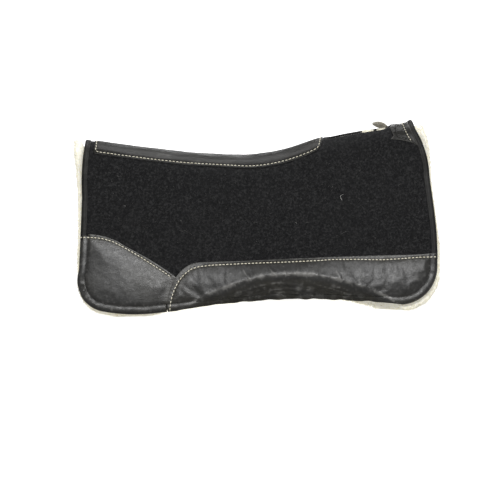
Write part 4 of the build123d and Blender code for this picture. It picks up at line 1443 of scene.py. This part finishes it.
    V = np.stack([centre + thick * (u1 * math.cos(a) + u2 * math.sin(a)) for a in (0, 2.0944, 4.18879)], 2).reshape(-1, 3)
    tm = []
    for j in range(4):
        for a in range(3):
            c = (a + 1) % 3
            tm.append((j * 3 + a, j * 3 + c, (j + 1) * 3 + c, (j + 1) * 3 + a))
    tm += [(2, 1, 0), (12, 13, 14)]
    o = new_object("felt_fibres_" + tag, V, [tuple(i + k * 15 for i in f) for k in range(n) for f in tm], FIBRE)
    if len(o.data.vertices) == n * 15:
        add_attr(o, "tone", np.repeat(tone, 15))
    else:
        print("FIBRE COUNT", len(o.data.vertices), n * 15)
    bend(o, side, body)


# ---------------------------------------------------------------- leathers over the crest
def arc_of(points):
    """Side-view points as (x, distance from the crest's top line)."""
    p = to_xw(points, 0.0, 3.0)
    return np.stack([p[:, 0], p[:, 1] - w_top(p[:, 0])], -1)


low = arc_of(SPINE_LOW)
low = even(low, 2.0)
front_end = []
x_f, s_f = low[-1]
for k in np.linspace(0, 1, 22)[1:]:
    a = k * math.pi / 2
    front_end.append((x_f + (151.8 - x_f) * math.sin(a), s_f * (1 - (1 - math.cos(a)))))
half = np.vstack([[(-351.0, 0.0), (-351.6, 15.0), (-352.6, 30.0), (-354.2, low[0, 1] - 4), (-353.6, low[0, 1] - 0.6)], low, front_end])
half = even(half, 2.0)
half[0, 1] = 0.0
half[-1, 1] = 0.0
spine_poly = np.vstack([half, (half * [1, -1])[::-1][1:-1]])
row_half = even(soften(even(np.vstack([[(-346.6, 0.0), (-347.2, 15.0), (-348.2, 30.0), (-349.4, low[0, 1] - 9), (-347.5, low[0, 1] - 5.4)],
                                         low[4:] + np.array([0, -5.0]),
                                         [(x_f + (146.4 - x_f) * math.sin(a), (s_f - 5) * math.cos(a)) for a in np.linspace(0, math.pi / 2, 16)[1:]]]),
                               1.5), 5), 1.5)
row_half[:, 1] = np.maximum(row_half[:, 1], 0)


def spine_wr(x, s):
    p = np.stack([x * 0.22, s * 1.0, x * 0 + 3.0], -1)
    long_ = noise_at(p, 11.0, 4.0) * 0.75
    q = np.stack([x * 0.6 + s * 0.5, s, x * 0 + 9.0], -1)
    ridged = 1.0 - 2.0 * np.abs(noise_at(np.stack([x * 0.16, s * 0.8, x * 0 + 13.0], -1), 12.0, 14.0))
    return (long_ * 0.8 + ridged * 0.7) * smooth((52 - np.abs(s)) / 20) + noise_at(q, 26.0, 5.0) * 0.7 + noise_at(q, 7.0, 6.0) * 0.15


full_row = np.vstack([row_half, (row_half * [1, -1])[::-1]])


def spine_front(x, s, e):
    r = groove(x, s, [(row_half, 0.75, 8.0), ((row_half * [1, -1]), 0.75, 8.0)])
    return -2.2 - spine_wr(x, s) * smooth(e / 6) + r + 0.55 * (1 - smooth(e / 1.6))


b = Build()
b.sheet(crest_place, spine_poly, 3.6, 9.0, spine_front, lambda x, s, e: np.full(x.shape, -0.3),
        extra=np.vstack([near_points(row_half), near_points(row_half * [1, -1])]))
o = b.make("spine_leather_piece", SPINE)
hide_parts("spine_leather")


def spine_highlight_streaks(p):
    # Painted highlight streaks running along the spine.
    n = noise_at(np.stack([p[:, 0] * 0.35, p[:, 1], p[:, 2] * 0], -1), 20.0, 3.0, 2)
    n2 = noise_at(np.stack([p[:, 0] * 0.5, p[:, 1] * 1.5, p[:, 2]], -1), 9.0, 6.0, 2)
    return np.clip(0.05 + 0.9 * n, 0, 1) * np.clip(0.5 + 0.9 * n2, 0, 1) * 0.9


set_wear_light_attrs(o, spine_highlight_streaks)
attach(o, "crest")


def spine_thread_place(x, s, d):
    return crest_place(x, s, d - spine_wr(x, s) * 0.9)


b = Build()
b.stitches(spine_thread_place, row_half, width=1.6, base=-1.25, rise=1.2, seed=5)
b.stitches(spine_thread_place, row_half * [1, -1], width=1.6, base=-1.25, rise=1.2, seed=6)
o = b.make("spine_stitches", PALE)
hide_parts("spine_leather_stitching")
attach(o, "crest")

# leather across the withers
edge_in = inset(PAD, 11.5)
tail = edge_in[edge_in[:, 0] > 300]
tail = tail[tail[:, 1] < w_at(369.5, 350.2)]
tail_s = np.stack([tail[:, 0], tail[:, 1] - w_top(tail[:, 0])], -1)
tail_s = tail_s[np.argsort(tail_s[:, 1])]
rear_side = arc_of([(300.1, 392.0), (303.0, 385.0), (308.3, 375.6), (300.3, 369.2)])
lower_side = arc_of([(300.3, 369.2), (322, 367.2), (345, 362.0), (366.0, 352.0)])
bh = np.vstack([[(299.8, 0.0)], rear_side, lower_side[1:]])
bh = bh[bh[:, 0] < tail_s[-1, 0] + 0.1]
bridge_half = even(np.vstack([bh, tail_s[::-1]]), 1.8)
bridge_half[0, 1] = 0
bridge_half[-1, 1] = 0
bridge_poly = np.vstack([bridge_half, (bridge_half * [1, -1])[::-1][1:-1]])
row_a = even(np.vstack([[(312.4, 0.0)], arc_of([(312.6, 392.0), (313.0, 384.0), (317.4, 373.4), (330, 370.6), (344, 366.4)])]), 1.2)
row_b = even(np.vstack([[(327.4, 0.0)], arc_of([(329.0, 396.0), (331.2, 390.0), (336.6, 379.0), (346.5, 363.4)])]), 1.2)
BR = [row_a, row_b, row_a * [1, -1], row_b * [1, -1]]


def bridge_front(x, s, e):
    q = np.stack([x, s * 0.5, x * 0 + 5.0], -1)
    lifted = 1.6 * np.exp(-((x - 303.0) / 7.0)**2) * smooth((np.abs(s) - 8) / 14.0)
    return (-2.4 - lifted - noise_at(q, 16.0, 9.0) * 0.7 * smooth(e / 5) + groove(x, s, [(r, 0.7, 7.0) for r in BR])
            + 0.55 * (1 - smooth(e / 1.6)))


b = Build()
b.sheet(crest_place, bridge_poly, 2.6, 6.0, bridge_front, lambda x, s, e: np.full(x.shape, -0.3),
        extra=np.vstack([near_points(r) for r in BR]))
o = b.make("wither_bridge_leather_piece", SPINE)
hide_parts("wither_bridge_leather")


def bridge_wear_and_edge_highlight(p):
    # Worn mottles, and a painted highlight along the raw edge.
    w = w_at(p[:, 0], p[:, 2], -2.0)
    q = np.stack([p[:, 0], w - w_top(p[:, 0])], -1)
    return 0.35 * np.clip(noise_at(p, 14.0, 3.0, 2), 0, 1) + 0.95 * np.exp(-(dist_to(q, bridge_half) / 1.1)**2)


set_wear_light_attrs(o, bridge_wear_and_edge_highlight)
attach(o, "crest")

for label, rows_, mat, slot, base in (("wither_bridge_stitches", BR[1::2], PALE, "pale_thread", -1.3),
                                      ("wither_bridge_inner_stitches", BR[::2], DARK, "dark_thread", -1.0)):
  b = Build()
  for i, r in enumerate(rows_):
    b.stitches(lambda x, s, d: crest_place(x, s, d - 0.2 - noise_at(np.stack([x, s * 0.5, x * 0 + 5.0], -1), 16.0, 9.0) * 0.6),
               r, pitch=6.6, length=4.8, width=1.3, base=base, rise=1.0, seed=40 + i)
  o = b.make(label, mat)
  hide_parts("wither_bridge_stitching")
  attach(o, "crest")

# rim of the wither opening: its sewn row of dark thread
rim = top_border(VENT[0] - 1, VENT[1] + 1, 3.6)
rim = rim[(rim[:, 0] > VENT[0] - 4) & (rim[:, 0] < VENT[1] + 4)]
rim = np.stack([rim[:, 0], rim[:, 1] - w_top(rim[:, 0])], -1)
rim = rim[rim[:, 1] > 0.5]
rim = even(rim, 1.5)
b = Build()
b.stitches(crest_place, rim, pitch=6.0, length=4.2, width=0.9, base=0.45, rise=0.45, seed=61)
b.stitches(crest_place, rim * [1, -1], pitch=6.0, length=4.2, width=0.9, base=0.45, rise=0.45, seed=62)
o = b.make("vent_stitches", DARK)
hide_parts("vent_stitching")
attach(o, "crest")

# fleece that stands up through the wither opening
rng = np.random.default_rng(77)
n = 900
kind = np.repeat([0, 1, 2], [120, 160, 620])
tx = np.where(kind == 0, rng.normal(283.0, 4.0, n), np.where(kind == 1, rng.uniform(241, 261, n), rng.uniform(VENT[0] + 8, VENT[1] - 8, n)))
tx = np.clip(tx, VENT[0] + 6, VENT[1] - 5)
ts = np.where(kind == 0, rng.uniform(-12, 10, n), np.where(kind == 1, -rng.uniform(4.0, 14.5, n), rng.choice([-1, 1], n) * rng.uniform(11.0, 16.4, n)))
base_d = rng.uniform(15.0, 20.0, n)
tall = np.where(kind == 0, base_d * 0.45 - rng.uniform(0.5, 3.0, n), np.where(kind == 1, base_d * 0.45 - rng.uniform(1.4, 3.6, n), rng.uniform(0.5, 2.5, n) * 0.5))
rows = []
ph = rng.uniform(0, 6.28, n)
ax = rng.normal(0, 0.28, n)
as_ = rng.normal(0, 0.22, n)
for j in range(6):
    t = j / 5
    rows.append((tx + (ax - 0.25 * (kind == 0)) * tall * t * 0.9 + 1.5 * (np.sin(5 * t + ph) - np.sin(ph)),
                 ts + as_ * tall * t + 1.4 * (np.cos(5 * t + ph) - np.cos(ph)),
                 base_d - (tall + base_d * 0.55) * t))
centre = np.stack([crest_place(x, s, d) for x, s, d in rows], 1)
tang = np.gradient(centre, axis=1)
tang /= np.maximum(np.linalg.norm(tang, axis=2, keepdims=True), 1e-9)
ref = np.array([0.31, 0.52, 0.79])
u1 = np.cross(tang, ref)
u1 /= np.maximum(np.linalg.norm(u1, axis=2, keepdims=True), 1e-9)
u2 = np.cross(tang, u1)
taper = (np.array([1.0, 1.0, 0.95, 0.85, 0.7, 0.4]) * 0.42)[None, :, None]
V = np.stack([centre + taper * (u1 * math.cos(a) + u2 * math.sin(a)) for a in (0, 2.0944, 4.18879)], 2).reshape(-1, 3)
tm = []
for j in range(5):
    for a in range(3):
        c = (a + 1) % 3
        tm.append((j * 3 + a, j * 3 + c, (j + 1) * 3 + c, (j + 1) * 3 + a))
tm += [(2, 1, 0), (15, 16, 17)]
o = new_object("vent_fleece_tufts", V, [tuple(i + k * 18 for i in f) for k in range(n) for f in tm], FLEECE_M)
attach(o, "crest")

# the loose lock of wool that lies back over the opening's front end
n = 560
u = rng.uniform(-1, 1, n)
side_u = rng.uniform(-1, 1, n)
reach = rng.uniform(0.72, 1.0, n)
rows = []
ph = rng.uniform(0, 6.28, n)
for j in range(7):
    t = j / 6 * reach
    fat = np.sin(math.pi * np.clip(t * 0.94 + 0.03, 0, 1))**0.7
    x = 294.5 - 33.0 * t + 0.7 * np.sin(6 * t + ph)
    h = -1.5 + 10.5 * np.clip(t, 0, 1)**0.7 + u * 6.6 * fat + 0.4 * np.cos(7 * t + ph)
    rows.append((x, -1.0 + side_u * 4.2 * (0.35 + fat), -h))
centre = np.stack([crest_place(x, s_, d) for x, s_, d in rows], 1)
tang = np.gradient(centre, axis=1)
tang /= np.maximum(np.linalg.norm(tang, axis=2, keepdims=True), 1e-9)
u1 = np.cross(tang, ref)
u1 /= np.maximum(np.linalg.norm(u1, axis=2, keepdims=True), 1e-9)
u2 = np.cross(tang, u1)
taper = (np.array([0.9, 1.0, 1.0, 0.95, 0.8, 0.6, 0.3]) * 0.33)[None, :, None]
V = np.stack([centre + taper * (u1 * math.cos(a) + u2 * math.sin(a)) for a in (0, 2.0944, 4.18879)], 2).reshape(-1, 3)
tm = []
for j in range(6):
    for a in range(3):
        c = (a + 1) % 3
        tm.append((j * 3 + a, j * 3 + c, (j + 1) * 3 + c, (j + 1) * 3 + a))
tm += [(2, 1, 0), (18, 19, 20)]
o = new_object("vent_wool_lock", V, [tuple(i + k * 21 for i in f) for k in range(n) for f in tm], LOCK_M)
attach(o, "crest")


# ---------------------------------------------------------------- stage, light, camera
floor_m = Net("studio_floor")
seen = floor_m.node("ShaderNodeLightPath").outputs["Is Camera Ray"]
far = floor_m.node("ShaderNodeVectorMath", operation="LENGTH")
floor_m.link(floor_m.co, far.inputs[0])
far = floor_m.curve(far.outputs["Value"], 0.75, 1.5)
floor_m.set(Base_Color=floor_m.mix(seen, (0.42, 0.42, 0.42), (0.96, 0.96, 0.96)), Roughness=0.9, Specular_IOR_Level=0.0,
            Emission_Color=(1.0, 1.0, 1.0), Emission_Strength=floor_m.math("MULTIPLY", floor_m.math("ADD", floor_m.math("MULTIPLY", far, 0.6), 0.62), seen))
me = bpy.data.meshes.new("floor")
V = [(sx * 40.0, sy * 40.0, -0.0004) for sx, sy in ((-1, -1), (1, -1), (1, 1), (-1, 1))]
me.from_pydata(V, [], [(0, 1, 2, 3)])
me.materials.append(floor_m.m)
floor = bpy.data.objects.new("floor", me)
bpy.context.scene.collection.objects.link(floor)
floor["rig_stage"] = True

world = bpy.data.worlds.new("studio")
bpy.context.scene.world = world
world.use_nodes = True
wn = world.node_tree
bg = wn.nodes["Background"]
path = wn.nodes.new("ShaderNodeLightPath")
lev = wn.nodes.new("ShaderNodeMapRange")
lev.inputs["To Min"].default_value = 0.34
lev.inputs["To Max"].default_value = 1.0
wn.links.new(path.outputs["Is Camera Ray"], lev.inputs["Value"])
wn.links.new(lev.outputs["Result"], bg.inputs["Strength"])
bg.inputs[0].default_value = (1.0, 1.0, 1.0, 1.0)


def area(name, at, to, size, watts, colour=(1, 1, 1)):
    l = bpy.data.lights.new(name, "AREA")
    l.shape = "RECTANGLE"
    l.size, l.size_y = size
    l.energy = watts
    l.color = colour
    o = bpy.data.objects.new(name, l)
    o.location = at
    o.rotation_euler = (Vector(to) - Vector(at)).to_track_quat("-Z", "Y").to_euler()
    bpy.context.scene.collection.objects.link(o)
    return o


area("key", (0.15, -2.3, 1.5), (0.0, 0.0, 0.2), (1.5, 0.6), 35)
area("top", (0.1, 0.35, 2.5), (0.0, 0.0, 0.3), (2.2, 0.7), 30)
area("rim", (0.6, 2.2, 1.5), (0.0, 0.0, 0.2), (1.3, 0.7), 14)

E, ROLL = math.radians(8.0), math.radians(1.33)
cam = bpy.data.cameras.new("camera")
cam.lens, cam.sensor_width = 360.0, 36.0
cam.clip_end = 80.0
target = Vector((-0.01456, -0.110, 0.1408))
back = Vector((0, -math.cos(E), math.sin(E)))
up0 = Vector((0, math.sin(E), math.cos(E)))
right = Vector((1, 0, 0)) * math.cos(ROLL) - up0 * math.sin(ROLL)
up = Vector((1, 0, 0)) * math.sin(ROLL) + up0 * math.cos(ROLL)
dist = 1.09635 / 36.0 * 360.0
m = Matrix((right, up, back)).transposed().to_4x4()
m.translation = target + back * dist
co = bpy.data.objects.new("camera", cam)
bpy.context.scene.collection.objects.link(co)
co.matrix_world = m
bpy.context.scene.camera = co
bpy.context.scene.view_settings.view_transform = "Standard"

for o in bpy.context.scene.objects:
    if o.type == "MESH" and "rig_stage" not in o and o.name not in frame["nodes"]:
        tris = sum(len(p.vertices) - 2 for p in o.data.polygons)
        print("PIECE", o.name, len(o.data.vertices), tris)
